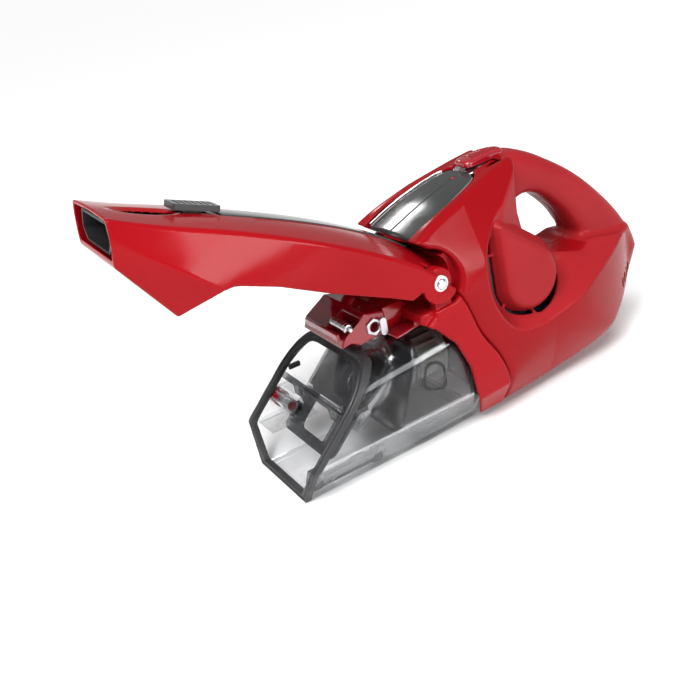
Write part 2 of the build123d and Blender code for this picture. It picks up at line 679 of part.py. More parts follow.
def battery_holder():
    tray = block(176, 240, -36, 36, CELL_Z - 13.5, CELL_Z + 1)
    for x in CELL_XS:
        tray = tray - rod_y(x, CELL_Z, CELL_RADIUS + 0.1, -CELL_LENGTH / 2 - 0.2, CELL_LENGTH / 2 + 0.2)
    return largest(tray & (prism([(150, 19.5), (300, 19.5), (300, 60), (150, 60)], 60)))


def make_body():
    left, right = housings()
    add("left_housing", left)
    add("right_housing", right)
    add("front_collar", collar())
    panel = inlay_plan() & (below_top(0.6) - below_top(4.3)) & block(113.5, 200, -40, 40, 100, 175)
    switch_seat = block(174, 200, -9.4, 9.4, 160.4, 175)
    add("top_inlay", panel - switch_seat - rod_z(LENS_X, 0, 150, 170, LENS_RADIUS))
    trims = (inlay_plan(1.3) - inlay_plan(0.1)) & (below_top(0.2) - below_top(4.3))
    trims = trims & block(114, 176, -40, 40, 100, 175)
    add("inlay_trims", *trims.solids())
    bezel = block(184.2, 215.6, -12.2, 12.2, 159.0, 161.0) - block(188, 208, -4, 4, 150, 170)
    add("switch_bezel", bezel)
    vents = []
    for side in both_sides(vent_segments(RECESS_FLOOR - 2.4, RECESS_FLOOR - 0.4)):
        vents += side.solids()
    add("vent_grilles", *vents)
    jack = rod_x(303, 315.5, 0, JACK_Z, 4.0) - rod_x(306, 330, 0, JACK_Z, 2.8)
    add("charge_jack", jack + rod_x(303, 313, 0, JACK_Z, 1.0))
    feet = [rod_z(FOOT_X, side * FOOT_Y, 0, 10.5, 5.0) - body_solid_floor() for side in (-1, 1)]
    add("rubber_feet", *[rounded(foot, 1.0, foot.edges().sort_by(Axis.Z)[:1]) for foot in feet])


def body_solid_floor():
    """Stock above the body's underside, to seat the feet against it."""
    return both_ways(side_outline(), 60)


def vent_segments(y_from, y_to):
    """Curved slots between the bulge and the recess floor, on +y."""
    ring = bulge(y_from, y_to, 3.4) - bulge(y_from - 1, y_to + 1, 0.3)
    lower_left = prism([(155, 122), (155, 50), (222, 50), (222, 80), (196, 82), (172, 108), (168, 122)], 60)
    ring = ring & lower_left
    for x, z, turn in ((164, 98, 0), (172, 71, 45), (203, 64, -30)):
        ring = ring - Pos(x, 22, z) * Rot(0, turn, 0) * Box(14, 40, 1.8)
    return ring


def screws():
    parts = []
    for x, z in SCREW_SPOTS:
        parts.append(rod_y(x, z, 1.45, -10, 12.5) + rod_y(x, z, 2.9, 12, 14.2))
    return parts


def make_insides():
    add("housing_screws", *screws())
    add("motor_can", motor_can())
    cradle_hole = rod_x(150, 230, 0, MOTOR_Z, MOTOR_RADIUS)
    cradles = [block(x, x + 4, -19, 19, MOTOR_Z - 21.5, MOTOR_Z - 8) - cradle_hole for x in (164, 188)]
    add("motor_mounts", *[largest(cradle) for cradle in cradles])
    add("fan_shroud", fan_shroud())
    add("impeller", impeller())
    add("motor_shaft", rod_x(FAN_FRONT + 2, MOTOR_X + MOTOR_LENGTH + 1, 0, MOTOR_Z, SHAFT_RADIUS))
    cell_end = CELL_LENGTH / 2
    add("battery_cells", *[rod_y(x, CELL_Z, CELL_RADIUS, -cell_end, cell_end) for x in CELL_XS])
    add("battery_holder", battery_holder())
    board = block(246, 286, -17, 17, 48, 49.6)
    chips = block(250, 260, -12, -2, 49.6, 56) + block(266, 274, 2, 12, 49.6, 53)
    board = board + chips + rod_z(256, 8, 49.6, 60, 4)
    add("circuit_board", board)
    add("switch_block", block(188, 206, -7.5, 7.5, 138, 150.5))
    slider_stem = block(192, 199, -3.2, 3.2, 151.0, 161.4)
    pad = block(176.2, 206.2, -8.6, 8.6, 161.3, 166.8)
    pad = rounded(pad, 3.0, pad.edges().filter_by(Axis.Z))
    pad = rounded(pad, 1.6, pad.faces().sort_by(Axis.Z)[-1].edges())
    for i in range(9):
        pad = pad - Pos(180.0 + 2.8 * i, 0, 167.2) * Box(1.2, 13, 1.6)
    add("power_switch", pad + slider_stem)
    add("indicator_lens", rod_z(LENS_X, 0, 153.4, 156.2, LENS_RADIUS - 0.02))


def make_cup():
    add("dirt_cup", dirt_cup())
    add("cup_rim_gasket", rim_gasket())
    add("rim_clips", *rim_clips())
    add("cup_rear_seal", rear_seal())
    add("filter_frame", filter_frame())
    add("filter_cone", filter_cone())
    add("pleated_filter", pleated_filter())
    add("air_guide", air_guide())
    add("latch_box", latch_box())
    add("base_rail", base_rail())
    button = rod_y(BUTTON_X, BUTTON_Z, BUTTON_RADIUS, 40, 50.5)
    button = rounded(button, 1.2, button.edges().sort_by(Axis.Y)[-1:])
    add("release_button", button)
    coil = rod_y(BUTTON_X, BUTTON_Z, 4.6, 24.1, 37.2) - rod_y(BUTTON_X, BUTTON_Z, 3.4, 20, 40)
    add("button_spring", coil)
    add("cup_stop", prism([(98, 2.1), (118, 4.3), (126, 10), (124, 19.5), (108, 19.5), (104, 8)], 12))


def make_catch():
    add("catch_block", catch_block())
    roller = rod_y(ROLLER_X, ROLLER_Z, ROLLER_RADIUS, -23.5, -12.0)
    add("catch_roller", roller - rod_y(ROLLER_X, ROLLER_Z, 1.26, -30, 0))
    add("roller_pin", rod_y(ROLLER_X, ROLLER_Z, 1.2, -26, -9.6))
    ring = rod_y(74, 91.5, 3.9, -28.5, -22) - rod_y(74, 91.5, 2.6, -30, -23.2)
    add("catch_ring", ring)
    tab = block(78.4, 83.0, -29.0, -26.05, 85.5, 97.0)
    add("catch_tab", rounded(tab, 2.1, tab.edges().filter_by(Axis.Y)))


def make_nozzle():
    add("nozzle_shell", opened(nozzle_shell()))
    add("nozzle_top_strip", opened(top_strip()))
    add("nozzle_baffle", opened(baffle()))
    add("inlet_flap", opened(inlet_flap()))
    add("flap_pin", opened(rod_y(FLAP_PIN_X, FLAP_PIN_Z, FLAP_PIN_RADIUS, -21.5, 21.5)))
    bush = rod_y(PIN_X, PIN_Z, 5.0, ARM_INNER, ARM_OUTER)
    bush = bush - rod_y(PIN_X, PIN_Z, PIN_RADIUS + PIN_RUNNING_GAP, 45, 60)
    add("hinge_bushes", *[opened(one) for one in both_sides(bush)])
    add("crevice_tool", opened(crevice_tool()))
    add("slider_button", opened(slider_button()))
    pin = rod_y(PIN_X, PIN_Z, PIN_RADIUS, EAR_INNER, ARM_OUTER + 0.3)
    pin = pin + rod_y(PIN_X, PIN_Z, 4.4, ARM_OUTER + 0.25, ARM_OUTER + 1.5)
    pin = rounded(pin, 1.0, pin.edges().sort_by(Axis.Y)[-1:])
    add("hinge_pins", *both_sides(pin))


make_body()
make_insides()
make_cup()
make_catch()
make_nozzle()

os.makedirs("parts", exist_ok=True)
for name, shape in nodes.items():
    export_step(shape, f"parts/{name}.step")
    print(f"{name}: {shape.volume / 1000:.1f} cm3")
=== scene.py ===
"""Visible model of the cordless hand vacuum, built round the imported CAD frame.

Moulded shells are described as implicit forms, negative inside, in
millimetres from the cup's mouth (x back, y to the right, z up), and turned
into meshes on a grid. The nozzle is described shut and turned to its open
place. Every other piece is a CAD node with the material of its slot.
"""
import json
import math

import bpy
import numpy as np
from mathutils import Matrix, Vector


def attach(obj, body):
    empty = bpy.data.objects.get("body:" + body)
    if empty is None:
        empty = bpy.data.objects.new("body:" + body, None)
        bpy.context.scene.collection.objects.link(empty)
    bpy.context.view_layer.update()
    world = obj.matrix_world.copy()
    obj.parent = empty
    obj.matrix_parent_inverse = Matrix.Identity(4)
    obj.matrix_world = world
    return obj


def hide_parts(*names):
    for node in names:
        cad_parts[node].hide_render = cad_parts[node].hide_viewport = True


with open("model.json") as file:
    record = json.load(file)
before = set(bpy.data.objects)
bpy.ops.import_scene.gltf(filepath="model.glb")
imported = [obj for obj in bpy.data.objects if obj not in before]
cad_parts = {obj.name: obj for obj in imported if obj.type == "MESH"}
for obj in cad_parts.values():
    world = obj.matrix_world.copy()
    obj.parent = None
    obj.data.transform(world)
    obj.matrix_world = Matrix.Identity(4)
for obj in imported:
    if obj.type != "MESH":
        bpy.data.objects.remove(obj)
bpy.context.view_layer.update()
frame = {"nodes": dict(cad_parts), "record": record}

MM = 0.001
BASE_CENTRE_X = 50.0
PIN_X, PIN_Z = 113.1, 113.6
OPEN_ANGLE = math.radians(56.9)
LOBE_RADIUS = 13.2
LOBE_CLEARANCE = 18.4
EAR_RADIUS = 9.5
EAR_INNER, EAR_OUTER = 41.5, 48.6
ARM_INNER = 49.2
BUSH_RADIUS = 5.0
BODY_HALF_WIDTH = 52.0
FAR = 1e3


# ------------------------------------------------------------- curve helpers
def smooth_line(points, per_span=8):
    """Points along a smooth curve through the given ones."""
    p = np.array(points, float)
    gap = np.linalg.norm(np.diff(p, axis=0), axis=1)
    slope = np.diff(p, axis=0) / gap[:, None]
    tangent = np.empty_like(p)
    tangent[0], tangent[-1] = slope[0], slope[-1]
    before, after = gap[:-1, None], gap[1:, None]
    tangent[1:-1] = (slope[:-1] * after + slope[1:] * before) / (before + after)
    line = []
    for i in range(len(gap)):
        t = np.linspace(0, 1, per_span, endpoint=False)[:, None]
        rise = 3 * t**2 - 2 * t**3
        lead = (t**3 - 2 * t**2 + t) * gap[i]
        trail = (t**3 - t**2) * gap[i]
        line.append(p[i] * (1 - rise) + p[i + 1] * rise + tangent[i] * lead + tangent[i + 1] * trail)
    line.append(p[-1:])
    return np.vstack(line)


def arc(centre, radius, start, end, count=12):
    """Points on a round arc, angles in degrees."""
    turn = np.radians(np.linspace(start, end, count))
    return np.stack([centre[0] + radius * np.cos(turn), centre[1] + radius * np.sin(turn)], axis=1)


class Outline:
    """Closed outline in a plane, looked up from a fine map of signed distance."""

    STEP = 0.5

    def __init__(self, *stretches, margin=24.0):
        points = np.vstack([np.array(one, float) for one in stretches])
        low = points.min(0) - margin
        count = ((points.max(0) + margin - low) / self.STEP).astype(int) + 2
        self.low, self.count = low, count
        u = (low[0] + self.STEP * np.arange(count[0]))[:, None]
        v = (low[1] + self.STEP * np.arange(count[1]))[None, :]
        nearest = np.full((count[0], count[1]), 1e9)
        inside = np.zeros((count[0], count[1]), bool)
        for (au, av), (bu, bv) in zip(points, np.roll(points, -1, axis=0)):
            eu, ev = bu - au, bv - av
            length = eu * eu + ev * ev
            if length < 1e-9:
                continue
            along = np.clip(((u - au) * eu + (v - av) * ev) / length, 0, 1)
            gap = (u - au - eu * along) ** 2 + (v - av - ev * along) ** 2
            nearest = np.minimum(nearest, gap)
            if abs(ev) > 1e-9:
                inside ^= ((av > v) != (bv > v)) & (u < au + eu * (v - av) / ev)
        self.map = np.where(inside, -np.sqrt(nearest), np.sqrt(nearest))

    def __call__(self, u, v):
        s = (u - self.low[0]) / self.STEP
        t = (v - self.low[1]) / self.STEP
        s0 = np.clip(np.floor(s).astype(int), 0, self.count[0] - 2)
        t0 = np.clip(np.floor(t).astype(int), 0, self.count[1] - 2)
        fs = np.clip(s - s0, 0, 1)
        ft = np.clip(t - t0, 0, 1)
        m = self.map
        near = m[s0, t0] * (1 - fs) + m[s0 + 1, t0] * fs
        far = m[s0, t0 + 1] * (1 - fs) + m[s0 + 1, t0 + 1] * fs
        return near * (1 - ft) + far * ft


def both(a, b, width=0.0):
    """Intersection of two forms, its edge rounded over a width."""
    width = np.maximum(width, 1e-3)
    blend = np.maximum(width - np.abs(a - b), 0)
    return np.maximum(a, b) + blend * blend / (4 * width)


def either(a, b, width=0.0):
    """Union of two forms, its inner corner filled over a width."""
    return -both(-a, -b, width)


def without(a, b, width=0.0):
    """Form a with form b cut away."""
    return both(a, -b, width)


def slab(value, low, high):
    """Space between two levels of a value."""
    return np.maximum(low - value, value - high)


def facet(y, z, low, high):
    """Flat side of a section through two (y, z) corners, low one first."""
    dy, dz = high[0] - low[0], high[1] - low[1]
    length = np.sqrt(dy * dy + dz * dz)
    return ((y - low[0]) * dz - (z - low[1]) * dy) / length


def along_rows(rows, x):
    """Row values at x, straight between the rows."""
    table = np.array(rows, float)
    return [np.interp(x, table[:, 0], table[:, i]) for i in range(1, table.shape[1])]


# ------------------------------------------------------------ form to mesh
EDGES = [(a, a | bit) for a in range(8) for bit in (1, 2, 4) if not a & bit]


def grid_mesh(form, low, high, step):
    """Vertices and quads where a form crosses zero inside a box."""
    axes = [np.arange(a, b + step, step) for a, b in zip(low, high)]
    values = form(axes[0][:, None, None], axes[1][None, :, None], axes[2][None, None, :])
    inside = values < 0
    shape = [n - 1 for n in values.shape]
    corner_at = [tuple(slice(c >> k & 1, (c >> k & 1) + shape[k]) for k in range(3)) for c in range(8)]
    count = sum(inside[at].astype(np.int8) for at in corner_at)
    cells = np.argwhere((count > 0) & (count < 8))
    offsets = np.array([[c >> k & 1 for k in range(3)] for c in range(8)])
    at = cells[:, None, :] + offsets[None]
    corner = values[at[..., 0], at[..., 1], at[..., 2]]
    total = np.zeros((len(cells), 3))
    crossings = np.zeros(len(cells))
    for a, b in EDGES:
        va, vb = corner[:, a], corner[:, b]
        crossed = (va < 0) != (vb < 0)
        share = np.where(crossed, va / np.where(crossed, va - vb, 1), 0)
        place = offsets[a] + (offsets[b] - offsets[a]) * share[:, None]
        total += place * crossed[:, None]
        crossings += crossed
    points = np.array(low) + step * (cells + total / crossings[:, None])
    number = np.full(shape, -1)
    number[tuple(cells.T)] = np.arange(len(cells))
    quads = []
    for k in range(3):
        i, j = (k + 1) % 3, (k + 2) % 3
        here = [slice(1, n - 1) for n in values.shape]
        here[k] = slice(0, values.shape[k] - 1)
        after = list(here)
        after[k] = slice(1, values.shape[k])
        start, end = inside[tuple(here)], inside[tuple(after)]
        spots = np.argwhere(start != end)
        leaving = start[tuple(spots.T)]
        spots = spots + [0 if n == k else 1 for n in range(3)]
        ring = []
        for di, dj in ((-1, -1), (0, -1), (0, 0), (-1, 0)):
            shift = np.zeros(3, int)
            shift[i], shift[j] = di, dj
            ring.append(number[tuple((spots + shift).T)])
        ring = np.stack(ring, axis=1)
        quads.append(np.where(leaving[:, None], ring, ring[:, ::-1]))
    return points, np.vstack(quads)


def slope_of(form, points, reach=0.35):
    """Gradient of a form at points."""
    parts = []
    for k in range(3):
        shift = np.zeros(3)
        shift[k] = reach
        ahead, behind = points + shift, points - shift
        parts.append((form(*ahead.T) - form(*behind.T)) / (2 * reach))
    return np.stack(parts, axis=1)


def settle(form, points, rounds=3, most=0.7):
    """Moves grid vertices onto the form's own surface."""
    for _ in range(rounds):
        slope = slope_of(form, points, 0.2)
        size = np.maximum((slope**2).sum(1), 0.05)
        move = -form(*points.T)[:, None] * slope / size[:, None]
        length = np.linalg.norm(move, axis=1, keepdims=True)
        points = points + move * np.minimum(1, most / np.maximum(length, 1e-9))
    return points


def to_frame(points, opened):
    """Millimetres from the cup's mouth to metres in the row frame."""
    p = np.array(points, float)
    if opened:
        dx, dz = p[:, 0] - PIN_X, p[:, 2] - PIN_Z
        c, s = math.cos(OPEN_ANGLE), math.sin(OPEN_ANGLE)
        p = np.stack([PIN_X + dx * c + dz * s, p[:, 1], PIN_Z - dx * s + dz * c], axis=1)
    p[:, 0] -= BASE_CENTRE_X
    return p * MM


def mesh_piece(name, points, faces, material, normals):
    """Smooth-shaded object that carries its form's own normals."""
    mesh = bpy.data.meshes.new(name)
    mesh.from_pydata([tuple(p) for p in points], [], [tuple(f) for f in faces])
    mesh.polygons.foreach_set("use_smooth", np.ones(len(mesh.polygons), bool))
    mesh.normals_split_custom_set_from_vertices([tuple(n) for n in normals])
    mesh.materials.append(material)
    piece = bpy.data.objects.new(name, mesh)
    bpy.context.scene.collection.objects.link(piece)
    return piece


def turned(vectors, opened):
    """Directions, swung with the nozzle if it is opened."""
    if not opened:
        return vectors
    c, s = math.cos(OPEN_ANGLE), math.sin(OPEN_ANGLE)
    x, y, z = vectors.T
    return np.stack([x * c + z * s, y, -x * s + z * c], axis=1)


def moulded(name, form, low, high, step, material, opened, side, marks):
    """Piece made from a form on a grid; side -1 is its mirror image."""
    points, quads = grid_mesh(form, low, high, step)
    points = settle(form, points)
    normals = slope_of(form, points)
    normals /= np.maximum(np.linalg.norm(normals, axis=1, keepdims=True), 1e-9)
    flip = np.array([1.0, side, 1.0])
    faces = quads if side > 0 else quads[:, ::-1]
    placed = to_frame(points * flip, opened)
    piece = mesh_piece(name, placed, faces, material, turned(normals * flip, opened))
    for mark, measure in marks.items():
        layer = piece.data.attributes.new(mark, "FLOAT", "POINT")
        layer.data.foreach_set("value", measure(*points.T).astype(np.float32))
    return piece


# ---------------------------------------------------------------- body form
def pin_reach(x, z):
    """Distance from the hinge pin's axis."""
    return np.hypot(x - PIN_X, z - PIN_Z)


def beside_pin(start, end, radius):
    """Arc about the hinge pin."""
    return arc((PIN_X, PIN_Z), radius, start, end)


FRONT_LINE = smooth_line([(157, 6), (156, 31), (149, 50), (138, 69), (130, 92), (126.8, 101.3)])
TOP_LINE = smooth_line([(109, 137.4), (121, 143.3), (143, 150.6), (169, 157.6), (190, 162.3),
                        (202, 164), (213, 163), (226, 157.6), (240, 149.2), (262, 133.6),
                        (285, 111.6), (303, 89.6), (314.5, 70)])
HEEL_LINE = smooth_line([(314.5, 70), (317, 61), (311, 50.5)])
BOTTOM_LINE = smooth_line([(311, 50.5), (298, 38), (284, 28.5), (264, 18.6), (234, 11.2),
                           (205, 8.3), (157, 6)])
LOBE_ROOM = beside_pin(-42, 80, LOBE_CLEARANCE)
BODY_SIDE = Outline(FRONT_LINE, LOBE_ROOM, TOP_LINE, HEEL_LINE, BOTTOM_LINE)
BODY_PLAN = Outline([(60, -70), (60, 52)],
                    smooth_line([(188, 52), (222, 49.5), (256, 40), (290, 24), (309, 11)]),
                    smooth_line([(309, 11), (316.6, 4), (317.4, 0), (317.4, -8)]),
                    [(317.4, -70)])

BODY_ROWS = [
    # x, foot y, foot z, bevel z, shoulder z, crease y, crease z, cheek y, cheek z
    (60, 33, -2, 28, 84, 44, 106, 31, 150),
    (125, 33, -2, 28, 97, 42.5, 119, 30, 152),
    (150, 33, -2, 30, 105, 37, 134, 29, 159),
    (205, 33, 2, 32, 118, 20, 163, 19, 172),
    (340, 22, 12, 44, 118, 20, 163, 19, 172),
]

RECESS_FLOOR = 24.0
SKIN_LEVEL = 56.0
RECESS_SKIN = Outline(smooth_line([(190, 165), (164, 141), (149.5, 120), (149, 86), (167, 57.5),
                                   (192, 52)]),
                      smooth_line([(192, 52), (250, 61.5), (285, 65), (345, 70)]),
                      [(345, 195), (190, 195)])
RECESS_BASE = Outline(smooth_line([(200, 160), (183, 140), (167, 122), (161, 96), (171, 77), (194, 76)]),
                      smooth_line([(194, 76), (240, 84.5), (280, 82), (345, 80)]),
                      [(345, 195), (200, 195)])
FINGERS = Outline(smooth_line([(206, 128), (214, 130), (222, 128.5), (240, 115), (253, 98),
                               (257, 88.5), (250, 84), (240, 85.5), (229, 90), (213, 102),
                               (202, 116), (201.5, 123), (206, 128)])[:-1])
ABOVE_DECK = Outline([(207, 185), (197, 150)],
                     smooth_line([(196, 128), (201, 114), (211, 101), (226, 90.5), (243, 87),
                                  (262, 86), (284, 82), (330, 76)]),
                     [(350, 185)])
GRIP_HALF = 15.5
WALL = 2.4

BULGE_PLACE = (189.6, 87.0)
BULGE_RADIUS = 24.4
BULGE_TIP = (169.5, 128.0)
BULGE_TIP_RADIUS = 5.0
BULGE_FACE = 45.0
BULGE_FOOT = 36.0
BULGE_LEAN = 0.55
VENT_SECTOR = Outline([(150, 123), (150, 50), (222, 50), (222, 77), (200, 80), (190, 87),
                       (174, 108), (170, 123)])
VENT_BRIDGES = ((161, 111, 0), (167.4, 72.3, 33), (188.6, 60, 90))  # x, z, slant in degrees

INLAY_EDGE = smooth_line([(96, 24.0), (138, 24.4), (158, 21.0), (169, 17.2), (173.6, 12.5),
                          (175, 6), (175.2, 0)])
INLAY_PLAN = Outline(INLAY_EDGE, (INLAY_EDGE * (1, -1))[-2::-1])
SEAM_LINE = smooth_line([(96, 128.5), (108, 134.4), (122, 140.2), (139, 146.8), (156, 152.6),
                         (180, 159.6), (200, 165)])
LENS_X = 167.5
SWITCH_FRONT, SWITCH_REAR = 174.0, 206.2
SLOT_FRONT, SLOT_REAR, SLOT_HALF = 188, 208, 4


def body_section(x, w, z):
    """Bevelled section: foot, side, shoulder and cheek facets."""
    foot_y, foot_z, bevel_z, shoulder_z, crease_y, crease_z, cheek_y, cheek_z = along_rows(BODY_ROWS, x)
    wide = BODY_HALF_WIDTH + 1
    bevel = facet(w, z, (foot_y, foot_z), (wide, bevel_z))
    lower = facet(w, z, (wide, shoulder_z), (crease_y, crease_z))
    upper = facet(w, z, (crease_y, crease_z), (cheek_y, cheek_z))
    section = both(w - BODY_HALF_WIDTH, bevel, np.interp(x, (140, 200), (3, 26)))
    shoulder = either(either(lower, upper, 9), w - cheek_y, 2)
    return both(section, shoulder, 9)


def bulge_plan(x, z):
    """Distance to the teardrop that joins two circles."""
    ax, az = BULGE_PLACE
    dx, dz = BULGE_TIP[0] - ax, BULGE_TIP[1] - az
    reach = math.hypot(dx, dz)
    dx, dz = dx / reach, dz / reach
    along = (x - ax) * dx + (z - az) * dz
    across = np.abs((x - ax) * dz - (z - az) * dx)
    lean = (BULGE_RADIUS - BULGE_TIP_RADIUS) / reach
    straight = math.sqrt(1 - lean * lean)
    place = along * straight - across * lean
    flank = across * straight + along * lean - BULGE_RADIUS
    base = np.hypot(across, along) - BULGE_RADIUS
    tip = np.hypot(across, along - reach) - BULGE_TIP_RADIUS
    return np.where(place < 0, base, np.where(place > straight * reach, tip, flank))


def floor_level(x):
    """The recess is shallower in front of the bulge than beside the deck."""
    return np.interp(x, (177, 203), (BULGE_FOOT, RECESS_FLOOR))


def recess(x, w, z):
    """Scoop in the side: a sloping wall round a flat floor."""
    share = (w - RECESS_FLOOR) / (SKIN_LEVEL - RECESS_FLOOR)
    wall = RECESS_BASE(x, z) * (1 - share) + RECESS_SKIN(x, z) * share
    return both(wall, floor_level(x) - w, 4)


def body_skin(x, y, z):
    """Whole outer form of the housing, before small openings."""
    w = np.abs(y)
    side = BODY_SIDE(x, z)
    shape = both(side, BODY_PLAN(x, w), 7)
    shape = both(shape, body_section(x, w, z), 4)
    shape = without(shape, recess(x, w, z), 2.2)
    shape = without(shape, ABOVE_DECK(x, z), 3)
    grip = both(both(side, FINGERS(x, z) * -1, 9), w - GRIP_HALF, 13)
    shape = either(shape, grip, 5)
    shape = without(shape, FINGERS(x, z), 5)
    bulge = both(both(bulge_spread(x, w, z) * 0.88, w - BULGE_FACE, 4), 16 - w)
    return either(shape, bulge, 1.0)


def bulge_spread(x, w, z):
    """Plan distance to the bulge's side, which leans in towards its face."""
    return bulge_plan(x, z) + BULGE_LEAN * (np.maximum(w, 31) - BULGE_FOOT)


def vent_ring(x, w, z, spare=0.0):
    """Gap round the front and foot of the bulge, wider towards the back."""
    reach = np.interp(x, (188, 193), (3.6, 5.4)) + spare
    return np.maximum(slab(bulge_spread(x, w, z), 0.2 - spare, reach), VENT_SECTOR(x, z) - spare)


def vents(x, w, z):
    """The gap, with thin bridges left across it."""
    ring = vent_ring(x, w, z)
    for bx, bz, turn in VENT_BRIDGES:
        c, s = math.cos(math.radians(turn)), math.sin(math.radians(turn))
        along = (x - bx) * c + (z - bz) * s
        across = (z - bz) * c - (x - bx) * s
        ring = np.maximum(ring, -np.maximum(np.abs(across) - 1.1, np.abs(along) - 9))
    return np.maximum(ring, 18 - w)


def vent_backing(x, y, z):
    """Dark grille that follows the vents just under the recess floor."""
    w = np.abs(y)
    return np.maximum(vent_ring(x, w, z, 1.5), slab(w, floor_level(x) - 4.8, floor_level(x) - 2.6))


def grip_share(x, y, z):
    """1 on the semi-matt faces of the recess, deck and grip, 0 on the gloss; the same share picks their rougher
    finish and their painted sheen, a lighter, pinker red.
    """
    w = np.abs(y)
    inner = np.minimum(recess(x, w, z), ABOVE_DECK(x, z))
    return np.clip((1.6 - inner) / 0.8, 0, 1)


def seam_height(x):
    return np.interp(x, SEAM_LINE[:, 0], SEAM_LINE[:, 1])


SCREW_SPOTS = ((152, 139), (139, 30), (246, 26), (298, 58), (292, 93))
WELL_RADIUS = 3.1
JACK_Z = 60.0
JACK_RADIUS = 4.2


def heel_slots(x, w, z):
    """Row of short upright slots that climbs towards the heel."""
    slots = FAR
    for i in range(4):
        slot = np.maximum(np.abs(x - 285 - 4.6 * i) - 1.1, np.abs(z - 44.5 - 1.8 * i) - 3.5)
        slots = np.minimum(slots, slot)
    return np.maximum(slots, 8 - w)


def leaf(x, w, z):
    """Leaf-shaped scoop in the cheek beside the switch."""
    along, across, depth = (x - 198) / 14.5, (w - 15.2) / 2.8, (z - 162.8 - 0.12 * (x - 198)) / 3.6
    return 2.6 * (np.sqrt(along**2 + across**2 + depth**2) - 1)


def switch_slot(x, w):
    """Long hole that the thumb slide's stem runs in."""
    return np.maximum(slab(x, SLOT_FRONT, SLOT_REAR), w - SLOT_HALF)


def switch_plate_plan(x, w):
    """Plan of the silver plate the thumb slide stands on."""
    return both(slab(x, 172.5, 212.5), w - 11.6, 9)


def switch_plate(x, y, z):
    """Thin silver plate bent along the top line."""
    w = np.abs(y)
    plate = both(switch_plate_plan(x, w), z - np.minimum(seam_height(x) + 0.4, 161.0), 0.5)
    plate = np.maximum(plate, seam_height(x) - 1.7 - z)
    return np.maximum(plate, -switch_slot(x, w))


def right_half(x, y, z):
    """The right half also takes the screws, in deep round wells."""
    shape = body_half(x, y, z)
    for screw_x, screw_z in SCREW_SPOTS:
        reach = np.hypot(x - screw_x, z - screw_z)
        post = np.maximum(reach - WELL_RADIUS - 1.3, np.maximum(11.8 - y, body_skin(x, y, z)))
        shape = without(np.minimum(shape, post), np.maximum(reach - WELL_RADIUS, 12 - y))
    return shape


def body_half(x, y, z):
    """One half of the housing: its wall, and every opening both halves share."""
    w = np.abs(y)
    skin = body_skin(x, y, z)
    shape = without(skin, skin + WALL)
    seat = both(INLAY_PLAN(x, w) - 1.5, seam_height(x) - 3.8 - z, 1)
    shape = without(shape, seat, 1.0)
    bay = np.maximum(switch_plate_plan(x, w) - 0.25, seam_height(x) - 1.8 - z)
    shape = without(shape, bay, 0.4)
    shape = without(shape, np.maximum(switch_slot(x, w), 140 - z))
    shape = without(shape, vents(x, w, z), 0.6)
    reach = pin_reach(x, z)
    shape = without(shape, reach - LOBE_CLEARANCE)
    cross_wall = both(slab(reach, LOBE_RADIUS + 2, LOBE_CLEARANCE + 1), slab(z, 100.5, 126), 1)
    shape = np.minimum(shape, np.maximum(cross_wall, np.maximum(PIN_X + 4 - x, w - 38)))
    shape = without(shape, heel_slots(x, w, z), 0.4)
    shape = without(shape, leaf(x, w, z), 0.8)
    shape = without(shape, np.maximum(np.hypot(y, z - JACK_Z) - JACK_RADIUS, 300 - x), 0.5)
    return both(shape, 0.12 - y, 0.5)


# -------------------------------------------------------------------- collar
COLLAR_SIDE = Outline([(137, 5.2), (128.5, 30), (126, 50), (117.5, 70.6), (104, 86), (97, 90)],
                      [(98, 96.5), (121, 98.3), (126.6, 100.9), (129.7, 92.2)],
                      smooth_line([(129.7, 92.2), (137.7, 69), (148.7, 50), (155.7, 31), (156.7, 6)]))
CUP_HALF_WIDTH = 48.0
CUP_BASE_HALF = 31.8
CUP_CHAMFER_Z = 26.7
CUP_CORNER = 22.0


def cup_form(x, w, z, grow=0.0):
    """Cup section: flat base, bevels, straight sides, round top corners."""
    top = 79.5 + (x - 60) * 7.5 / 74 + grow
    half = CUP_HALF_WIDTH + grow
    bevel = facet(w, z, (CUP_BASE_HALF + grow, -grow), (half, CUP_CHAMFER_Z))
    over_w, over_z = w - (half - CUP_CORNER), z - (top - CUP_CORNER)
    outside = np.hypot(np.maximum(over_w, 0), np.maximum(over_z, 0))
    rounded = outside + np.minimum(np.maximum(over_w, over_z), 0) - CUP_CORNER
    return both(both(rounded, bevel, 1.5), -grow - z)


def collar(x, y, z):
    """Ring that holds the cup, with the two ears that carry the hinge pins."""
    w = np.abs(y)
    foot_y, foot_z, bevel_z, shoulder_z, crease_y, crease_z, _, _ = along_rows(BODY_ROWS, x)
    wide = BODY_HALF_WIDTH + 1
    section = both(w - BODY_HALF_WIDTH, facet(w, z, (foot_y + 0.4, foot_z), (wide, bevel_z)), 1.2)
    section = both(section, facet(w, z, (50.1, 27), (52, 42.5)), 0.6)
    section = both(section, facet(w, z, (wide, shoulder_z), (crease_y, crease_z)), 6)
    shape = both(COLLAR_SIDE(x, z) + 0.25, section, 1.2)
    shape = without(shape, cup_form(x, w, z, 0.4), 0.6)
    reach = pin_reach(x, z)
    lobe = np.maximum(reach - LOBE_RADIUS - 1.2, 40 - w)
    shape = without(shape, lobe, 0.6)
    shape = without(shape, both(NOZZLE_SIDE(x, z) - 1.2, 46.5 - w, 3), 2)
    neck = np.maximum(slab(x, PIN_X - 5, PIN_X + 7), slab(z, 92, PIN_Z))
    ear = both(np.minimum(reach - EAR_RADIUS, neck), slab(w, EAR_INNER, EAR_OUTER), 0.5)
    return without(either(shape, ear, 1), reach - 3.1)


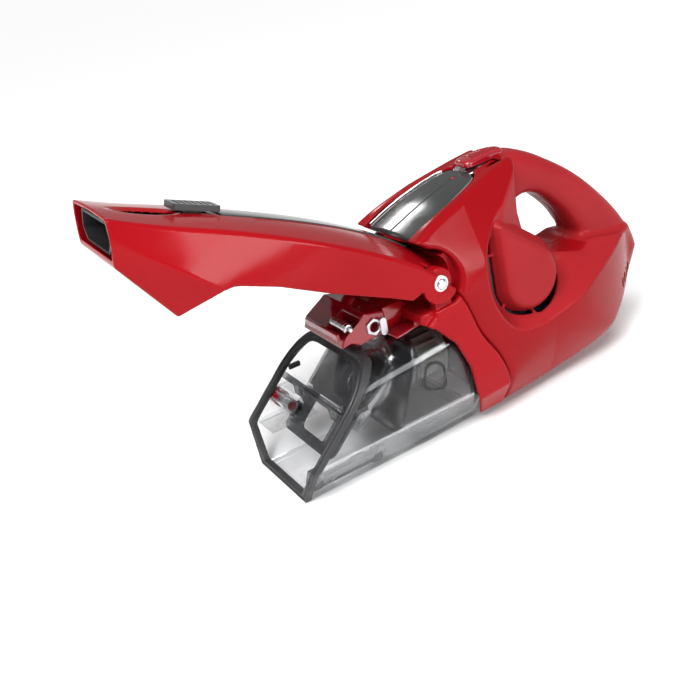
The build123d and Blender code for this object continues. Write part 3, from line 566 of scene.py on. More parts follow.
# -------------------------------------------------------------------- nozzle
NOZZLE_ROWS = [
    # x, foot y, lower crease y, z, upper crease y, z, crown z
    (-75, 31.0, 31.0, 8.5, 30.5, 11.5, 12.5),
    (-47, 33.0, 37.5, 13.6, 37.0, 29.4, 31.5),
    (-8, 33.0, 48.2, 24.0, 43.5, 57.0, 61.0),
    (34, 33.0, 51.8, 34.0, 50.2, 83.0, 89.8),
    (68, 33.0, 51.8, 44.0, 50.9, 100.6, 109.5),
    (100, 33.0, 51.8, 50.0, 51.0, 113.5, 123.6),
    (130, 33.0, 51.8, 50.0, 51.3, 119.0, 129.5),
]
NOZZLE_CURVES = [smooth_line([(row[0], row[i]) for row in NOZZLE_ROWS]) for i in range(1, 7)]
NOZZLE_SIDE = Outline([(-45.5, 0.5), (-1.3, 0.5), (2.4, 26.5), (6, 32.5), (27, 47.7), (58, 65.4)],
                      [(90, 85.6), (104.2, 94.0)],
                      beside_pin(-120, 80, LOBE_RADIUS),
                      [(PIN_X, 150), (-66.5, 150), (-66.5, 18.5)])


def nozzle_form(x, w, z):
    """Outer form of the shut nozzle, before it is trimmed from the side."""
    foot, low_y, low_z, top_y, top_z, crown = [np.interp(x, c[:, 0], c[:, 1]) for c in NOZZLE_CURVES]
    bevel = facet(w, z, (foot, 1.0), (low_y, low_z))
    side = facet(w, z, (low_y, low_z), (top_y, top_z))
    roof = (z - crown + (crown - top_z) * (w / top_y) ** 2) * 0.93
    shape = both(both(bevel, side, 1.0), 1.0 - z, 1.0)
    return both(shape, roof, 2.4)


def nozzle(x, y, z):
    """Shut nozzle: a shell with slots for the ears and for the tool's slider."""
    w = np.abs(y)
    reach = pin_reach(x, z)
    form = nozzle_form(x, w, z)
    room = np.maximum(form + WALL, np.minimum(x - PIN_X + 4, reach - LOBE_RADIUS + 2.6))
    shape = both(form, NOZZLE_SIDE(x, z), 1.0)
    shape = without(shape, room, 0.4)
    ears = np.maximum(97.5 - x, slab(w, EAR_INNER - 0.6, ARM_INNER - 0.15))
    shape = without(shape, np.maximum(ears, 90 - z))
    shape = without(shape, np.maximum(np.maximum(100 - x, w - EAR_INNER), z - PIN_Z))
    along, up = tool_axes(x, z)
    slot = np.maximum(slab(along, 14, 60), np.maximum(w - 3.4, -up))
    shape = without(shape, slot)
    scoop = np.hypot(np.hypot((along - 24) / 24, w / 15), (up - 16.2) / 6.5) - 1
    shape = without(shape, scoop * 6.5, 0.6)
    bore = np.maximum(reach - BUSH_RADIUS, slab(w, 45, 51.15))
    return without(shape, np.minimum(bore, np.maximum(reach - 3.15, 45 - w)))


def bushes(x, y, z):
    """Plain bushes in the arms, under the nozzle's skin."""
    reach = pin_reach(x, z)
    return both(both(reach - BUSH_RADIUS, 3.06 - reach, 0.2), slab(np.abs(y), ARM_INNER, 51.1), 0.2)


TOOL_FRONT_X, TOOL_FRONT_Z = -53.5, 11.6
TOOL_SLOPE = math.radians(36.5)


def tool_axes(x, z):
    """Place along the crevice tool and above its middle."""
    dx, dz = x - TOOL_FRONT_X, z - TOOL_FRONT_Z
    c, s = math.cos(TOOL_SLOPE), math.sin(TOOL_SLOPE)
    return dx * c + dz * s, dz * c - dx * s


# ------------------------------------------------------------- top of the body
def inlay(x, y, z):
    """Dark panel with a seam groove down its middle and a hole for the lens."""
    w = np.abs(y)
    top = seam_height(x) + 0.5 - 1.0 * (w / 24) ** 2
    shape = both(INLAY_PLAN(x, w), z - top, 0.9)
    shape = both(shape, np.maximum(seam_height(x) - 3.0 - z, 113.6 - x), 0.4)
    groove = np.maximum(w - 0.3, x - 170)
    shape = without(shape, np.maximum(groove, top - 0.45 - z), 0.3)
    return without(shape, np.hypot(x - LENS_X, y) - 1.8, 0.2)


def trim(x, y, z):
    """Bright strip that stands on the inlay's edge, against the cheek."""
    w = np.abs(y)
    shape = both(slab(INLAY_PLAN(x, w), 0.12, 1.3), z - seam_height(x) - 1.2, 0.5)
    return both(shape, np.maximum(seam_height(x) - 2.6 - z, slab(x, 114, 171)), 0.3)


def switch(x, y, z):
    """Ribbed thumb slide with a stem down into the body."""
    w = np.abs(y)
    ends = slab(x, SWITCH_FRONT, SWITCH_REAR)
    pad = both(ends, w - 8.0, 5)
    top = np.interp(x, (174, 184, 196, 207), (165.4, 167.2, 167.6, 166.4)) - 1.2 * (w / 8.0) ** 2
    pad = both(pad, z - top, 1.6)
    pad = both(pad, 161.4 - z, 0.6)
    ribs = np.abs((x - 180) % 2.6 - 1.3) - 0.75
    ribs = np.maximum(np.maximum(ribs, slab(x, 179.5, 203)), w - 6.0)
    pad = without(pad, np.maximum(ribs, top - 0.9 - z), 0.4)
    stem = np.maximum(np.maximum(slab(x, 192, 199), w - 3.2), slab(z, 151.2, 162))
    return np.minimum(pad, stem)


# ----------------------------------------------------------- cup and its insides
MOUTH = Outline([(-5.5, -40), (3.9, 26.7), (59.7, 78.9), (63.6, 130)], [(170, 130), (170, -40)])
GASKET_DEPTH = 4.4


def cup_base(x):
    """Level of the cup's floor, which lifts at the back."""
    return np.interp(x, (100, 140), (0, 4.6))


def wrap_round(x, y, z, low, high, inside, outside):
    """Band of the cup's section between two depths behind the mouth."""
    w = np.abs(y)
    skin = both(cup_form(x, w, z, -outside), cup_base(x) + outside - z, 0.8)
    hollow = both(cup_form(x, w, z, -inside), cup_base(x) + inside - z, 0.8)
    return both(without(skin, hollow, 0.4), slab(-MOUTH(x, z), low, high), 0.5)


def gasket(x, y, z):
    """Rim seal, with a raised bead round its mouth."""
    ring = wrap_round(x, y, z, 0, GASKET_DEPTH, 4.6, 0)
    groove = np.hypot(MOUTH(x, z), cup_form(x, np.abs(y), z) + 2.6) - 0.8
    return without(ring, groove, 0.3)


def cup(x, y, z):
    """Clear cup, with a round hole for the release button."""
    shell = wrap_round(x, y, z, GASKET_DEPTH, 400, 2.0, 0)
    shell = np.maximum(shell, x - 134)
    return without(shell, np.maximum(np.hypot(x - 29, z - 36) - 6.4, 40 - y), 0.3)


def hood(x, y, z):
    """Smoky box over the filter."""
    w = np.abs(y)
    outer = both(cup_form(x, w, z, -2.5), 21 - z, 2)
    inner = both(cup_form(x, w, z, -4.0), 22.5 - z, 1)
    front = 76 + 0.42 * (z - 40)
    hollow = both(inner, slab(x, front + 1.5, 132), 1)
    shape = both(outer, slab(x, front, 128), 3)
    shape = without(shape, hollow, 0.5)
    return without(shape, np.maximum(np.hypot(y, z - 50) - 25, x - 104))


def hood_mark(x, y, z):
    """Raised frame with round corners on each side of the hood."""
    w = np.abs(y)
    dx, dz = x - 101 - 0.16 * (z - 53), z - 53 + 0.35 * (x - 101)
    frame_line = both(np.abs(dx) - 8 + 0.12 * dz, np.abs(dz) - 9.5, 7)
    ridge = both(np.abs(frame_line) - 1.0, slab(cup_form(x, w, z, -2.5), -0.1, 0.5), 0.3)
    return np.maximum(ridge, 40 - w)


def pin_heads(x, y, z):
    """Domed steel rivets that pin the nozzle's arms to the ears."""
    w = np.abs(y)
    reach = pin_reach(x, z)
    dome = both(reach - 3.4, w - 53.2 + 0.08 * reach**2, 0.4)
    rivet = np.minimum(np.maximum(dome, 51.9 - w), np.maximum(reach - 2.9, w - 52.2))
    return np.maximum(rivet, 41.6 - w)


CONE_ROWS = [
    # x, middle z, radius
    (58, 22, 9.0),
    (60, 24, 10.6),
    (72, 34, 13.5),
    (84, 43.5, 17.2),
    (88, 46.5, 18.4),
    (100, 50, 21.6),
    (104, 51, 22.6),
]
CONE_RINGS = ((61, 1.8), (86.5, 3.4), (92.5, 3.0), (98.5, 2.6), (103, 2.2))  # x, height


def cone(x, y, z):
    """Duct that drops from the filter to the mouth, with rings at its wide end."""
    middle, radius = along_rows(CONE_ROWS, x)
    off_skin = np.hypot(y, z - middle) - radius
    shape = both((np.abs(off_skin) - 0.8) * 0.85, slab(x, 58.5, 103.5), 0.6)
    for at, height in CONE_RINGS:
        band = np.maximum(np.abs(x - at) - 1.3, slab(off_skin, -0.6, height))
        shape = either(shape, band, 0.5)
    return shape


def guide(x, y, z):
    """Smoky plate behind the mouth, with rounded windows and a cross-bar."""
    w = np.abs(y)
    deep = -MOUTH(x, z)
    plate = both(slab(deep, 17.5, 19.5), both(w - 33, slab(z, 20, 72.5), 6), 0.6)
    pane = both(both(slab(w, 6.5, 28.5), slab(z, 51.5, 67), 4), np.abs(w - 17) - 11, 3)
    plate = without(plate, np.maximum(pane, -slab(deep, 18.4, 30)), 0.4)
    port = both(w - 15, slab(z, 24, 42), 4)
    plate = without(plate, port, 0.6)
    bar = np.hypot(x - 37.3, z - 49) - 2.4
    bar = np.maximum(bar, w - 45.8)
    tab = both(both(slab(x, 34.5, 37.5), slab(z, 42, 49), 1), np.abs(w - 24) - 4, 1.5)
    return either(either(plate, bar, 1.5), tab, 1)


def bevel_axes(w, z):
    """Depth under the cup's lower bevel, and place along it from its foot."""
    length = math.hypot(CUP_HALF_WIDTH - CUP_BASE_HALF, CUP_CHAMFER_Z)
    c, s = (CUP_HALF_WIDTH - CUP_BASE_HALF) / length, CUP_CHAMFER_Z / length
    return (CUP_BASE_HALF - w) * s + z * c, (w - CUP_BASE_HALF) * c + z * s


def rail(x, y, z):
    """Grey rail on the left lower bevel, with slots, posts and end blocks."""
    depth, along = bevel_axes(-y, z)
    bar = both(slab(x, 9, 58), both(slab(depth, 2.4, 6.5), slab(along, 5, 17), 1.2), 0.8)
    groove = np.maximum(np.abs(along - 11) - 0.7, 2.9 - depth)
    bar = without(bar, np.maximum(groove, slab(x, 22, 56)), 0.3)
    for at in (17, 22):
        slot = np.maximum(np.abs(x - at - 0.4 * (along - 9)) - 0.9, slab(along, 7.5, 12.5))
        bar = without(bar, slot, 0.3)
    front = both(slab(x, 5.5, 14), both(slab(depth, 2.4, 10), slab(along, 3.5, 22), 1.5), 1)
    rear = both(slab(x, 52, 60), both(slab(depth, 2.4, 9), slab(along, 2.5, 19), 1.5), 1)
    post = both(slab(x, 34, 44), both(slab(depth, 2.4, 5.4), slab(along, 16, 22), 0.8), 0.6)
    parts = either(either(bar, front, 0.6), either(rear, post, 0.6), 0.6)
    return np.maximum(np.maximum(parts, y), 3.2 - z)


def floor_wedge(x, y, z):
    """Dark wedge on the cup's floor under the filter."""
    w = np.abs(y)
    outline = both(facet(x, z, (93, 2.5), (106, 19)) * -1, slab(x, 93, 125), 0.5)
    shape = both(both(outline, slab(z, cup_base(x) + 2.1, 19.5), 1), w - 30, 4)
    return without(shape, both(np.hypot(x - 128, z - 22) - 11, w - 40), 1)


CATCH_SIDE = Outline([(51, 86), (58, 86.8), (64, 83.4), (71, 84.4), (84, 85.4), (84.6, 93)],
                     [(84, 99.8), (70, 103), (66, 100.5), (54, 93.5)])
WEDGE_SIDE = Outline([(84.5, 84.3), (92, 83.6), (107, 88.5), (107, 95.5), (99, 100.5), (84.9, 100.2)])
CATCH_HOLE = (75, 92.6)
ROLLER_PLACE = (59, 96.2)
ROLLER_RADIUS = 3.3


def catch_body(x, y, z):
    """Red clear box over the cup's rim, with a notch for the roller."""
    w = np.abs(y)
    shape = both(CATCH_SIDE(x, z), w - 26, 1.5)
    shape = without(shape, both(both(slab(x, 53, 67), slab(y, -25.3, -3), 1), 91.2 - z, 1), 0.6)
    hole = np.hypot(x - CATCH_HOLE[0], z - CATCH_HOLE[1]) - 3.6
    shape = without(shape, np.maximum(hole, y + 20), 0.4)
    lip = both(both(slab(x, 51, 53.5), slab(z, 90, 94.6), 0.8), w - 22, 2)
    return either(shape, lip, 0.8)


def catch_wedge(x, y, z):
    """Bright red wedge behind the catch, cut by slanting facets."""
    w = np.abs(y)
    shape = both(WEDGE_SIDE(x, z), w - 25 + 0.35 * np.abs(z - 92), 0.6)
    rib = np.abs((w + 0.3 * x) % 7 - 3.5) - 0.4
    return without(shape, np.maximum(rib, 99.2 - z), 0.3)


def catch_bracket(x, y, z):
    """Clear red web that ties the catch back to the collar."""
    w = np.abs(y)
    roof = 88.5 + (x - 84) * 0.16
    web = both(slab(z, roof - 5.6, roof - 3.8), slab(x, 84, 118), 0.5)
    ribs = np.maximum(np.abs((w - 6) % 12 - 6) - 0.8, slab(z, roof - 5.6, roof + 1))
    web = either(web, np.maximum(ribs, slab(x, 98, 118)), 0.6)
    return both(web, w - 37, 1.5)


def ring_plate(x, y, z):
    """Silver six-sided washer round the catch's cross hole."""
    dx, dz = x - CATCH_HOLE[0], z - CATCH_HOLE[1]
    turn = np.arctan2(dz, dx)
    reach = np.hypot(dx, dz)
    six = reach * np.cos((turn + math.pi / 6) % (math.pi / 3) - math.pi / 6) - 5.2
    return both(both(six, 3.3 - reach, 0.4), slab(-y, 25.2, 27.6), 0.5)


def roller(x, y, z):
    """Steel roller with rounded ends, on its pin."""
    reach = np.hypot(x - ROLLER_PLACE[0], z - ROLLER_PLACE[1])
    barrel = both(reach - ROLLER_RADIUS, slab(y, -23.6, -4.6), 1.0)
    grooves = np.minimum(np.abs(y + 20.8), np.abs(y + 7.6)) - 0.3
    grooves = np.maximum(grooves, ROLLER_RADIUS - 0.4 - reach)
    return without(without(barrel, grooves, 0.2), reach - 1.3, 0.2)


# ----------------------------------------------------------------- materials
class Surface:
    """A Principled material whose colour, gloss and relief come from nodes."""

    def __init__(self, name, **inputs):
        self.material = bpy.data.materials.new(name)
        self.material.use_nodes = True
        self.tree = self.material.node_tree
        self.shader = self.tree.nodes["Principled BSDF"]
        self.place = self.tree.nodes.new("ShaderNodeTexCoord").outputs["Object"]
        for key, value in inputs.items():
            self.shader.inputs[key.replace("_", " ")].default_value = value

    def node(self, kind, **settings):
        made = self.tree.nodes.new(kind)
        for key, value in settings.items():
            setattr(made, key, value)
        return made

    def link(self, output, target):
        self.tree.links.new(output, target)

    def noise(self, scale, detail=3.0, stretch=None):
        """Noise over the object, stretched along its axes if asked."""
        place = self.place
        if stretch:
            turned_place = self.node("ShaderNodeMapping")
            turned_place.inputs["Scale"].default_value = stretch
            self.link(place, turned_place.inputs["Vector"])
            place = turned_place.outputs[0]
        made = self.node("ShaderNodeTexNoise")
        made.inputs["Scale"].default_value = scale
        made.inputs["Detail"].default_value = detail
        self.link(place, made.inputs["Vector"])
        return made.outputs["Fac"]

    def span(self, value, low, high, start=0.3, end=0.7):
        """Value stretched from one range to another."""
        made = self.node("ShaderNodeMapRange")
        made.inputs["From Min"].default_value = start
        made.inputs["From Max"].default_value = end
        made.inputs["To Min"].default_value = low
        made.inputs["To Max"].default_value = high
        self.link(value, made.inputs["Value"])
        return made.outputs[0]

    def blend(self, factor, first, second):
        """Mix of two colours, each a plain colour or another node's output."""
        made = self.node("ShaderNodeMix", data_type="RGBA")
        self.link(factor, made.inputs[0])
        for socket, colour in ((made.inputs[6], first), (made.inputs[7], second)):
            if isinstance(colour, tuple):
                socket.default_value = (*colour, 1)
            else:
                self.link(colour, socket)
        return made.outputs[2]

    def colour(self, first, second, scale, stretch=None):
        """Colour that drifts between two tones in soft patches."""
        fade = self.span(self.noise(scale, 4.0, stretch), 0, 1)
        self.link(self.blend(fade, first, second), self.shader.inputs["Base Color"])

    def gloss(self, low, high, scale, stretch=None):
        """Roughness that drifts between two levels."""
        self.link(self.span(self.noise(scale, 5.0, stretch), low, high), self.shader.inputs["Roughness"])

    def relief(self, scale, depth, strength=0.5, detail=2.0, stretch=None):
        """Fine surface relief, depth in metres."""
        bump = self.node("ShaderNodeBump")
        bump.inputs["Strength"].default_value = strength
        bump.inputs["Distance"].default_value = depth
        self.link(self.noise(scale, detail, stretch), bump.inputs["Height"])
        self.link(bump.outputs[0], self.shader.inputs["Normal"])


def red_shell():
    """Glossy red shell plastic, semi-matt where the hand grips. The gloss red is a painted shaded copy, set
    darker than the nozzle's and collar's red for the shade the body shows, and on the semi-matt faces the red
    is painted lighter and pinker as painted sheen.
    """
    made = Surface("red_shell", Specular_IOR_Level=0.11)
    grip = made.node("ShaderNodeAttribute", attribute_name="grip").outputs["Fac"]
    broad = made.span(made.noise(9, 3.0), 0, 1)
    # painted shade: the body's gloss red is set darker than the nozzle's and collar's red
    gloss = made.blend(broad, (0.215, 0.0028, 0.0050), (0.250, 0.0034, 0.0062))
    finer = made.span(made.noise(14, 3.0), 0, 1)
    # painted sheen: a lighter, pinker red on the semi-matt grip faces, on top of their real rougher finish
    satin_sheen_tone = made.blend(finer, (0.250, 0.010, 0.013), (0.285, 0.013, 0.017))
    made.link(made.blend(grip, gloss, satin_sheen_tone), made.shader.inputs["Base Color"])
    rough = made.node("ShaderNodeMix", data_type="FLOAT")
    made.link(grip, rough.inputs[0])
    made.link(made.span(made.noise(60, 5.0), 0.14, 0.21), rough.inputs[2])
    made.link(made.span(made.noise(420, 5.0), 0.30, 0.42), rough.inputs[3])
    made.link(rough.outputs[0], made.shader.inputs["Roughness"])
    made.relief(900, 0.00004, 0.12)
    return made.material


def red_gloss_painted_lit():
    """Red of the nozzle and the collar, painted brighter than the body's red to stand for the light these faces
    catch: a painted lit copy of the one red.
    """
    made = Surface("red_gloss_painted_lit", Specular_IOR_Level=0.12)
    # painted light: tones brighter than the body's red, for the light the nozzle and collar catch
    made.colour((0.260, 0.0030, 0.0062), (0.300, 0.0037, 0.0074), 10)
    made.gloss(0.11, 0.19, 55)
    made.relief(900, 0.00004, 0.12)
    return made.material


def moulded_plastic(name, dark, light, rough, grain=700, depth=0.00006, strength=0.3, **inputs):
    """Opaque plastic between two tones, with a fine grain."""
    made = Surface(name, **inputs)
    made.colour(dark, light, 18)
    made.gloss(rough[0], rough[1], 120)
    made.relief(grain, depth, strength)
    return made.material


def metal(name, dark, light, rough, stretch):
    """Metal with fine drawn lines."""
    made = Surface(name, Metallic=1.0)
    made.colour(dark, light, 40, stretch)
    made.gloss(rough[0], rough[1], 90, stretch)
    made.relief(260, 0.00003, 0.25, stretch=stretch)
    return made.material


def see_through(name, tint, skin, least, most=0.75, rough=(0.02, 0.06), low_tint=None):
    """Thin clear plastic: tinted light passes, and the skin mirrors more at the edges.

    With low_tint the plastic clears towards the floor.
    """
    made = Surface(name, Metallic=1.0)
    made.shader.inputs["Base Color"].default_value = (*skin, 1)
    made.gloss(rough[0], rough[1], 60)
    clear = made.node("ShaderNodeBsdfTransparent")
    if low_tint is None:
        fade = made.span(made.noise(25, 3.0), 0, 1)
        low_tint = tuple(0.97 * c for c in tint)
    else:
        axes = made.node("ShaderNodeSeparateXYZ")
        made.link(made.place, axes.inputs[0])
        fade = made.span(axes.outputs[2], 1, 0, 0.030, 0.062)
    made.link(made.blend(fade, tint, low_tint), clear.inputs[0])
    edge = made.node("ShaderNodeLayerWeight")
    edge.inputs["Blend"].default_value = 0.25
    mix = made.node("ShaderNodeMixShader")
    made.link(made.span(edge.outputs["Fresnel"], least, most, 0.03, 1.0), mix.inputs[0])
    made.link(clear.outputs[0], mix.inputs[1])
    made.link(made.shader.outputs[0], mix.inputs[2])
    made.link(mix.outputs[0], made.tree.nodes["Material Output"].inputs["Surface"])
    return made.material


def printed_board():
    """Green board with a grid of lighter tracks."""
    made = Surface("board")
    tracks = made.node("ShaderNodeTexBrick")
    tracks.inputs["Scale"].default_value = 260
    made.link(made.place, tracks.inputs["Vector"])
    tracks.inputs["Color1"].default_value = (0.012, 0.10, 0.035, 1)
    tracks.inputs["Color2"].default_value = (0.016, 0.13, 0.045, 1)
    tracks.inputs["Mortar"].default_value = (0.05, 0.22, 0.08, 1)
    made.link(tracks.outputs["Color"], made.shader.inputs["Base Color"])
    made.gloss(0.3, 0.5, 200)
    return made.material


def folded_paper():
    """Off-white filter paper, matt and fibrous."""
    made = Surface("filter_paper")
    made.colour((0.62, 0.60, 0.54), (0.76, 0.74, 0.68), 220)
    made.gloss(0.85, 0.98, 300)
    made.relief(1400, 0.0002, 0.7, 6.0)
    return made.material


PLASTICS = {
    # darker tone, lighter tone, roughness, other settings
    "dark_gloss": ((0.030, 0.032, 0.031), (0.039, 0.041, 0.040), (0.09, 0.15),
                   {"depth": 0.00002, "strength": 0.1, "Specular_IOR_Level": 0.35}),
    "dark_matte": ((0.011, 0.011, 0.012), (0.018, 0.018, 0.019), (0.38, 0.55), {}),
    "seal_rubber": ((0.016, 0.016, 0.018), (0.028, 0.028, 0.030), (0.40, 0.60),
                    {"grain": 500, "depth": 0.0001, "strength": 0.4}),
    "white_plastic": ((0.70, 0.70, 0.69), (0.78, 0.78, 0.77), (0.30, 0.45), {}),
    "cell_wrap": ((0.012, 0.07, 0.22), (0.016, 0.09, 0.28), (0.22, 0.36), {}),
    "red_clear": ((0.34, 0.006, 0.016), (0.44, 0.010, 0.022), (0.05, 0.10),
                  {"depth": 0.00003, "strength": 0.1, "Transmission_Weight": 0.35,
                   "Coat_Weight": 0.6, "Coat_Roughness": 0.03}),
    "lens": ((0.30, 0.01, 0.01), (0.40, 0.015, 0.015), (0.05, 0.09), {}),
    "grey_plastic": ((0.060, 0.060, 0.064), (0.082, 0.082, 0.086), (0.18, 0.30), {}),
}
METALS = {
    # darker tone, lighter tone, roughness, stretch of the drawn lines
    "bright_trim": ((0.72, 0.72, 0.74), (0.86, 0.86, 0.87), (0.12, 0.22), (20, 1, 1)),
    "silver_plate": ((0.50, 0.50, 0.52), (0.62, 0.62, 0.64), (0.22, 0.34), (1, 30, 1)),
    "steel": ((0.55, 0.55, 0.56), (0.70, 0.70, 0.71), (0.16, 0.30), (1, 30, 1)),
    "motor_steel": ((0.42, 0.42, 0.44), (0.56, 0.56, 0.58), (0.28, 0.42), (30, 1, 1)),
}
SMOKY = (0.05, 0.11)
LOOKS = {
    "red_shell": red_shell(),
    "board": printed_board(),
    "filter_paper": folded_paper(),
    "clear_cup": see_through("clear_cup", (0.985, 0.988, 0.99), (0.95, 0.96, 0.97), 0.012, most=0.45),
    "smoke_clear": see_through("smoke_clear", (0.36, 0.365, 0.37), (0.30, 0.30, 0.31), 0.10, rough=SMOKY),
    "cone_clear": see_through("cone_clear", (0.90, 0.905, 0.91), (0.90, 0.90, 0.92), 0.22,
                              rough=(0.08, 0.2)),
}
for name, (dark, light, rough, settings) in PLASTICS.items():
    LOOKS[name] = moulded_plastic(name, dark, light, rough, **settings)
for name, (dark, light, rough, stretch) in METALS.items():
    LOOKS[name] = metal(name, dark, light, rough, stretch)
RED_GLOSS_PAINTED_LIT = red_gloss_painted_lit()
OWN_LOOKS = {
    # pieces that don't look like the rest of their slot
    # the next three pieces take the red painted brighter for the light it catches: painted light
    "collar": RED_GLOSS_PAINTED_LIT,
    "nozzle": RED_GLOSS_PAINTED_LIT,
    "catch_wedge": RED_GLOSS_PAINTED_LIT,
    "filter_hood": see_through("hood_smoke", (0.66, 0.665, 0.67), (0.42, 0.42, 0.43), 0.07, rough=SMOKY,
                               low_tint=(0.93, 0.935, 0.94)),
    "mouth_guide": see_through("guide_smoke", (0.66, 0.665, 0.67), (0.42, 0.42, 0.43), 0.07, rough=SMOKY),
}


# -------------------------------------------------------------------- camera
VIEW_TARGET = Vector((0.0183, 0.0, 0.0703))
VIEW_DISTANCE = 0.5873
VIEW_AZIMUTH = math.radians(-25.8)
VIEW_HEIGHT = math.radians(25.6)
VIEW_ROLL = math.radians(-12.0)
VIEW_LENS = 46.29


def make_camera():
    """Camera on the left side, a little towards the front, slightly rolled."""
    a, e, r = VIEW_AZIMUTH, VIEW_HEIGHT, VIEW_ROLL
    back = Vector((math.sin(a) * math.cos(e), -math.cos(a) * math.cos(e), math.sin(e)))
    level = Vector((math.cos(a), math.sin(a), 0))
    upright = back.cross(level)
    right = level * math.cos(r) + upright * math.sin(r)
    up = upright * math.cos(r) - level * math.sin(r)
    camera = bpy.data.objects.new("camera", bpy.data.cameras.new("camera"))
    place = VIEW_TARGET + back * VIEW_DISTANCE
    turn = Matrix((right, up, back)).transposed().to_4x4()
    camera.matrix_world = Matrix.Translation(place) @ turn
    camera.data.lens = VIEW_LENS
    camera.data.sensor_width = 36.0
    camera.data.clip_start = 0.01
    bpy.context.scene.collection.objects.link(camera)
    bpy.context.scene.camera = camera


def area_light(name, place, target, size, power):
    """White panel light at a place, aimed at a target."""
    light = bpy.data.lights.new(name, "AREA")
    light.shape = "RECTANGLE"
    light.size, light.size_y = size
    light.energy = power
    holder = bpy.data.objects.new(name, light)
    aim = Vector(target) - Vector(place)
    holder.matrix_world = Matrix.Translation(place) @ aim.to_track_quat("-Z", "Y").to_matrix().to_4x4()
    bpy.context.scene.collection.objects.link(holder)


FLOOR_HALF = 150.0
FLOOR_TONE = 0.93
WORLD_LEVEL = 0.32


def make_floor():
    """Pale floor that runs far past the picture's edges."""
    mesh = bpy.data.meshes.new("floor")
    s = FLOOR_HALF
    mesh.from_pydata([(-s, -s, 0), (s, -s, 0), (s, s, 0), (-s, s, 0)], [], [(0, 1, 2, 3)])
    floor = bpy.data.objects.new("floor", mesh)
    bpy.context.scene.collection.objects.link(floor)
    pale = bpy.data.materials.new("floor")
    pale.use_nodes = True
    shader = pale.node_tree.nodes["Principled BSDF"]
    shader.inputs["Base Color"].default_value = (FLOOR_TONE, FLOOR_TONE, FLOOR_TONE, 1)
    shader.inputs["Roughness"].default_value = 0.9
    shader.inputs["Specular IOR Level"].default_value = 0.1
    mesh.materials.append(pale)


def make_lights():
    """White surroundings, three panels and one soft sun."""
    world = bpy.data.worlds.new("studio")
    world.use_nodes = True
    background = world.node_tree.nodes["Background"]
    background.inputs[0].default_value = (1, 1, 1, 1)
    background.inputs[1].default_value = WORLD_LEVEL
    bpy.context.scene.world = world
    bpy.context.scene.view_settings.view_transform = "Standard"
    area_light("rear_key", (0.24, 0.89, 0.74), (0.08, 0, 0.14), (0.13, 0.13), 1.1)
    area_light("front_fill", (0.42, -1.2, 0.42), (0.0, 0, 0.16), (0.6, 0.35), 8)
    area_light("left_top", (-0.7, -0.5, 1.1), (0.05, 0, 0.1), (0.5, 0.5), 10)
    sun = bpy.data.lights.new("soft_sun", "SUN")
    sun.energy = 2.7
    sun.angle = math.radians(40)
    holder = bpy.data.objects.new("soft_sun", sun)
    holder.rotation_euler = (math.radians(18), math.radians(-24), 0)
    bpy.context.scene.collection.objects.link(holder)


def dress_nodes():
    """Gives each CAD node the material of its slot."""
    slots = {part["node"]: part["material_slot"] for part in frame["record"]["subparts"]}
    for name, node in frame["nodes"].items():
        node.data.materials.clear()
        node.data.materials.append(LOOKS[slots[name]])


make_camera()
make_floor()
make_lights()
dress_nodes()


def fit(piece, body, slot, *nodes):
    """Rides a piece on its body and puts it in its CAD nodes' place."""
    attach(piece, body)
    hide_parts(*nodes)


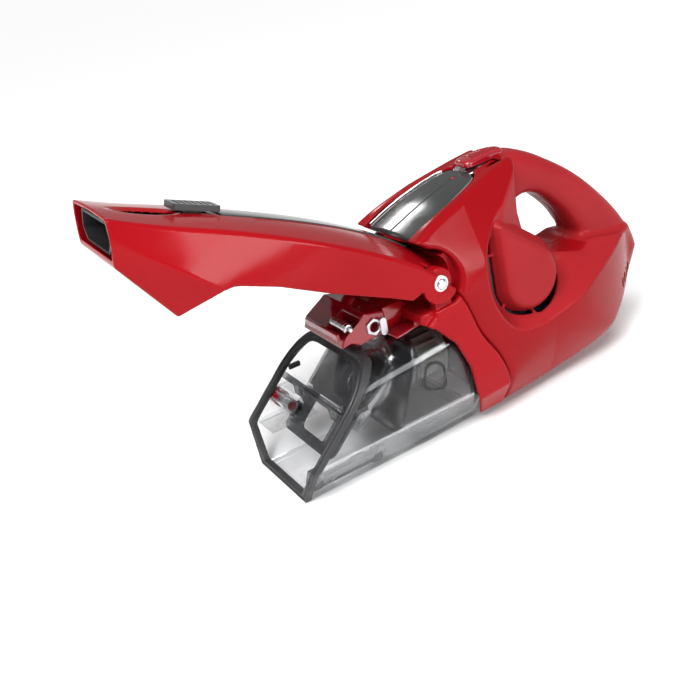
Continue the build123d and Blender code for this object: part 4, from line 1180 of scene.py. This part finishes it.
HALF_LOW, HALF_HIGH = (100, -1.5, 3), (320, 54.5, 170)
PIECES = [
    # name, form, low corner, high corner, step, side, body, slot, CAD node it stands for
    ("housing_right", right_half, HALF_LOW, HALF_HIGH, 1.0, 1, "body", "red_shell", "right_housing"),
    ("housing_left", body_half, HALF_LOW, HALF_HIGH, 1.0, -1, "body", "red_shell", "left_housing"),
    ("collar", collar, (90, -54, -2), (160, 54, 125), 1.0, 1, "body", "red_shell", "front_collar"),
    ("nozzle", nozzle, (-72, -54, -2), (132, 54, 132), 1.0, 1, "nozzle", "red_shell", "nozzle_shell"),
    ("inlay_panel", inlay, (110, -30, 128), (190, 30, 168), 0.7, 1, "body", "dark_gloss", "top_inlay"),
    ("inlay_edges", trim, (110, -30, 128), (182, 30, 168), 0.6, 1, "body", "bright_trim", "inlay_trims"),
    ("thumb_switch", switch, (171, -11, 150), (209, 11, 170), 0.4, 1, "switch", "red_clear", "power_switch"),
    ("switch_plate", switch_plate, (171, -15, 154), (215, 15, 163), 0.6, 1, "body", "silver_plate",
     "switch_bezel"),
    ("vent_grille", vent_backing, (155, 16, 54), (222, 34, 128), 0.9, 1, "body", "dark_matte", "vent_grilles"),
    ("vent_grille", vent_backing, (155, 16, 54), (222, 34, 128), 0.9, -1, "body", "dark_matte", "vent_grilles"),
    ("rim_gasket", gasket, (-8, -50, -2), (68, 50, 84), 0.9, 1, "body", "seal_rubber", "cup_rim_gasket"),
    ("clear_cup", cup, (-2, -50, -2), (136, 50, 90), 1.0, 1, "body", "clear_cup", "dirt_cup"),
    ("filter_hood", hood, (64, -48, 19), (130, 48, 90), 0.9, 1, "body", "smoke_clear", "filter_frame"),
    ("hood_mark", hood_mark, (88, -48, 38), (116, 48, 70), 0.6, 1, "body", "smoke_clear", "filter_frame"),
    ("filter_duct", cone, (57, -28, 10), (106, 28, 78), 0.7, 1, "body", "cone_clear", "filter_cone"),
    ("mouth_guide", guide, (16, -48, 18), (84, 48, 76), 0.8, 1, "body", "smoke_clear", "air_guide"),
    ("side_rail", rail, (4, -50, 0), (62, -28, 30), 0.6, 1, "body", "grey_plastic", "base_rail"),
    ("floor_wedge", floor_wedge, (91, -32, 1), (127, 32, 22), 0.8, 1, "body", "dark_matte", "cup_stop"),
    ("catch_box", catch_body, (48, -28, 81), (88, 28, 106), 0.7, 1, "body", "red_clear", "catch_block"),
    ("catch_wedge", catch_wedge, (83, -27, 81), (109, 27, 103), 0.7, 1, "body", "red_clear", "catch_block"),
    ("catch_bracket", catch_bracket, (83, -39, 80), (120, 39, 96), 0.8, 1, "body", "red_clear",
     "catch_block"),
    ("catch_washer", ring_plate, (68, -29, 86), (82, -24, 99), 0.4, 1, "body", "silver_plate", "catch_ring"),
    ("hinge_rivets", pin_heads, (107, -55, 108), (119, 55, 119), 0.5, 1, "body", "steel", "hinge_pins"),
    ("arm_bushes", bushes, (107, -52, 107), (119, 52, 120), 0.5, 1, "nozzle", "white_plastic", "hinge_bushes"),
    ("catch_roller_skin", roller, (54, -25, 91), (64, -4, 101), 0.5, 1, "roller", "steel", "catch_roller"),
]


def make_pieces():
    """Moulds every piece in the list; those on the nozzle are turned open."""
    for name, form, low, high, step, side, body, slot, node in PIECES:
        marks = {"grip": grip_share} if name.startswith("housing") else {}
        look = OWN_LOOKS.get(name, LOOKS[slot])
        piece = moulded(name, form, low, high, step, look, body == "nozzle", side, marks)
        fit(piece, body, slot, node)


make_pieces()
